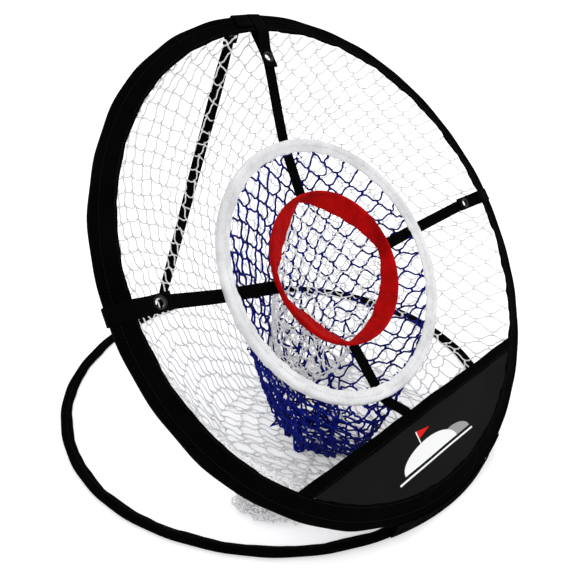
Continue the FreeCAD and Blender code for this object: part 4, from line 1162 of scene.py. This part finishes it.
# its points stay in front of the rear strap's middle plane; some cords still cut into the strap
beyond = np.minimum((points - nose) @ facing + rear["behind"] - rear["netRoom"], 0)
points -= beyond[:, None] * facing
behind = points[bars].mean(1)[:, 1] > -0.02
for name, wanted in (("outerNetBack", behind), ("outerNetFront", ~behind)):
    netHalf = netPiece(name, points, bars, outerNet, wanted)
    hang(netHalf, whiteCord, "outer_net", "white_cord", hoopMiddle, 0.085)

# The same net where it is gathered: a crumpled strip along the lower left rim, and a loose patch on the
# floor against the bag; sizes are width, depth, columns, rows and roughness
tuftNet = dict(outerNet, name="tufts", bar=0.004, cord=0.0013, knot=0.0024, knotReach=0.0010,
               sag=0.0004, slack=0.001)
tuftSizes = {"rim": (0.042, 0.012, 13, 4, 0.0019), "floor": (0.072, 0.044, 21, 12, 0.0023)}
tufts = []
for index, clock in enumerate((219.0, 225.5, 232.0, 238.5, 245.0, 251.5, 258.0)):
    turn = math.radians(clock)
    alongRim = acrossWay * math.cos(turn) - upWay * math.sin(turn)
    inwards = -(acrossWay * math.sin(turn) + upWay * math.cos(turn))
    rimSpot = hoopMiddle - inwards * 0.279 - outWay * 0.004
    downWay = inwards * 0.7 - outWay * 0.7
    tufts.append(netPatch(rimSpot, alongRim, downWay, tuftSizes["rim"], tuftNet, 60 + index))
tuftSide = np.array([0.60, -0.80, 0.0])
tuftOut = np.array([-0.72, -0.69, 0.0])
for index, lift in enumerate((0.004, 0.009)):
    tuftSpot = np.array([-0.150, -0.146, lift])
    tufts.append(netPatch(tuftSpot, tuftSide, tuftOut, tuftSizes["floor"], tuftNet, 71 + index))
points, bars = np.zeros((0, 3)), np.zeros((0, 2), int)
for tuftPoints, tuftBars in tufts:
    bars = np.vstack([bars, tuftBars + len(points)])
    points = np.vstack([points, tuftPoints])
tuftPiece = netPiece("outerNetTufts", points, bars, tuftNet)
hang(tuftPiece, whiteCord, "outer_net", "white_cord", hoopMiddle, 0.085)

# Blue net of the middle ring
middleNet = {
    "name": "middle net", "columns": 39, "bar": 0.0212, "radius": 0.145, "lean": (0.15, 0.35, 50.0),
    "rowSlope": (0.150, 318.0), "crumple": (0.0075, 0.15, 0.14), "taller": (0.0, 0.0), "seed": 5,
    "gathers": ((0.35, 285.0, 30.0, 0.25),), "rim": 0.1466, "stir": 0.0012, "waves": 0.002,
    "belly": (0.026, 262.0, 1.5, 1.25, (-0.72, -0.30, 0.0)), "rimOut": -0.0034,
    "foot": (-0.033, -0.127, 0.008), "footRadius": 0.043, "swell": 0.0, "ease": 1.3,
    "seam": ((-0.060, -0.139, 0.006), (-0.002, -0.113, 0.006)), "bottom": 0.0042, "cord": 0.0026,
    "knot": 0.0038, "knotReach": 0.0022, "sides": 6, "bends": (0, 0.5, 0.1, -0.5, 0),
    "bow": 0.15, "slack": 0.004, "sag": 0.001,
}
middleBag = bellied(netBag(middleNet, ringMiddle, middleNet["rim"]), middleNet["belly"])
points, bars = layNet(middleNet, middleBag, seamBetween(*middleNet["seam"]))
middlePiece = netPiece("middleNet", points, bars, middleNet)
hang(middlePiece, blueCord, "middle_net", "blue_cord", ringMiddle - 0.002 * outWay, 0.02)

# White net of the inner ring, sewn to the drawn hem of its red cloth
innerNet = {
    "name": "inner net", "columns": 26, "bar": 0.0185, "radius": 0.08, "lean": (0.20, 0.35, 50.0),
    "rowSlope": (0.075, 318.0), "crumple": (0.0060, 0.09, 0.10), "taller": (0.0, 0.0), "seed": 9,
    "gathers": (), "stir": 0.0016, "waves": 0.0015, "rimOut": -0.0152,
    "foot": (-0.050, -0.086, 0.092), "footRadius": 0.032, "swell": 0.0, "ease": 1.0,
    "seam": ((-0.070, -0.092, 0.080), (-0.030, -0.080, 0.080)), "bottom": 0.074, "cord": 0.0017,
    "knot": 0.0034, "knotReach": 0.0021, "sides": 6, "bends": (0, 0.45, 0.1, -0.45, 0),
    "bow": 0.15, "slack": 0.004, "sag": 0.001,
}


def innerRim(angle):
    clocks = np.degrees(np.atleast_1d(angle)) % 360.0
    reach = np.array([hemRadius(one) for one in clocks.ravel()]) + 0.0022
    return reach.reshape(np.shape(angle))


points, bars = layNet(innerNet, netBag(innerNet, ringMiddle, innerRim), seamBetween(*innerNet["seam"]))
innerPiece = netPiece("innerNet", points, bars, innerNet)
hang(innerPiece, whiteCord, "inner_net", "white_cord", ringMiddle - 0.0098 * outWay, 0.02)
print("nets made")

# Camera, at the photograph's place
cameraAt = {
    "place": (-0.5485, -0.5645, 0.5732), "right": (0.69615, -0.71739, 0.02702),
    "up": (0.28716, 0.31276, 0.90538), "back": (-0.65796, -0.62252, 0.42373),
    "lens": 41.77, "shift": (-0.0362, -0.0515),
}
cameraData = bpy.data.cameras.new("view")
cameraData.sensor_width = 36.0
cameraData.lens = cameraAt["lens"]
cameraData.shift_x, cameraData.shift_y = cameraAt["shift"]
cameraData.clip_start = 0.01
camera = bpy.data.objects.new("view", cameraData)
turn = Matrix((cameraAt["right"], cameraAt["up"], cameraAt["back"])).transposed().to_4x4()
camera.matrix_world = Matrix.Translation(Vector(cameraAt["place"])) @ turn
bpy.context.collection.objects.link(camera)
bpy.context.scene.camera = camera

# Floor, world and soft lamps
studio = {"floor": (0.86, 0.86, 0.87, 1), "floorGlow": 0.30, "floorHalf": 60, "floorLevel": -0.0006,
          "ambient": (0.985, 0.99, 1.0, 1)}
floorMesh = bpy.data.meshes.new("floor")
corners = [(a * studio["floorHalf"], b * studio["floorHalf"], studio["floorLevel"])
           for a, b in ((-1, -1), (1, -1), (1, 1), (-1, 1))]
floorMesh.from_pydata(corners, [], [(0, 1, 2, 3)])
floor = bpy.data.objects.new("floor", floorMesh)
bpy.context.collection.objects.link(floor)
floorMaterial = bpy.data.materials.new("paleFloor")
nodes, links, shader = socketsOf(floorMaterial)
shader.inputs["Base Color"].default_value = studio["floor"]
shader.inputs["Roughness"].default_value = 0.9
shader.inputs["Specular IOR Level"].default_value = 0.0
glow = nodes.new("ShaderNodeEmission")
glow.inputs["Color"].default_value = (1, 1, 1, 1)
rays = seenRays(nodes, links)
glowing = mathNode(nodes, links, "MULTIPLY", rays, studio["floorGlow"])
links.new(glowing, glow.inputs["Strength"])
both = nodes.new("ShaderNodeAddShader")
links.new(shader.outputs[0], both.inputs[0])
links.new(glow.outputs[0], both.inputs[1])
output = next(one for one in nodes if one.type == "OUTPUT_MATERIAL")
links.new(both.outputs[0], output.inputs["Surface"])
dress(floor, floorMaterial)

world = bpy.data.worlds.new("studio")
bpy.context.scene.world = world
world.use_nodes = True
nodes, links = world.node_tree.nodes, world.node_tree.links
nodes.clear()
worldOut = nodes.new("ShaderNodeOutputWorld")
ambient = nodes.new("ShaderNodeBackground")
ambient.inputs["Color"].default_value = studio["ambient"]
ambient.inputs["Strength"].default_value = 1.0
backdrop = nodes.new("ShaderNodeBackground")
backdrop.inputs["Color"].default_value = (1, 1, 1, 1)
backdrop.inputs["Strength"].default_value = 1.0
rays = seenRays(nodes, links)
blend = nodes.new("ShaderNodeMixShader")
links.new(rays, blend.inputs["Fac"])
links.new(ambient.outputs[0], blend.inputs[1])
links.new(backdrop.outputs[0], blend.inputs[2])
links.new(blend.outputs[0], worldOut.inputs["Surface"])


def softLamp(name, place, aim, size, power):
    data = bpy.data.lights.new(name, "AREA")
    data.shape = "SQUARE"
    data.size = size
    data.energy = power
    lamp = bpy.data.objects.new(name, data)
    bpy.context.collection.objects.link(lamp)
    lamp.location = place
    lamp.rotation_euler = (Vector(aim) - Vector(place)).to_track_quat("-Z", "Y").to_euler()


softLamp("keyLamp", (-1.6, -1.8, 2.4), (0, -0.1, 0.2), 1.4, 17)
softLamp("fillLamp", (2.2, -1.2, 1.6), (0, -0.1, 0.2), 1.8, 10)
softLamp("topLamp", (0.1, 0.6, 2.8), (0, 0, 0.1), 2.0, 11)
scene = bpy.context.scene
scene.view_settings.view_transform = "Standard"
print("camera and lamps made")

bpy.context.view_layer.update()
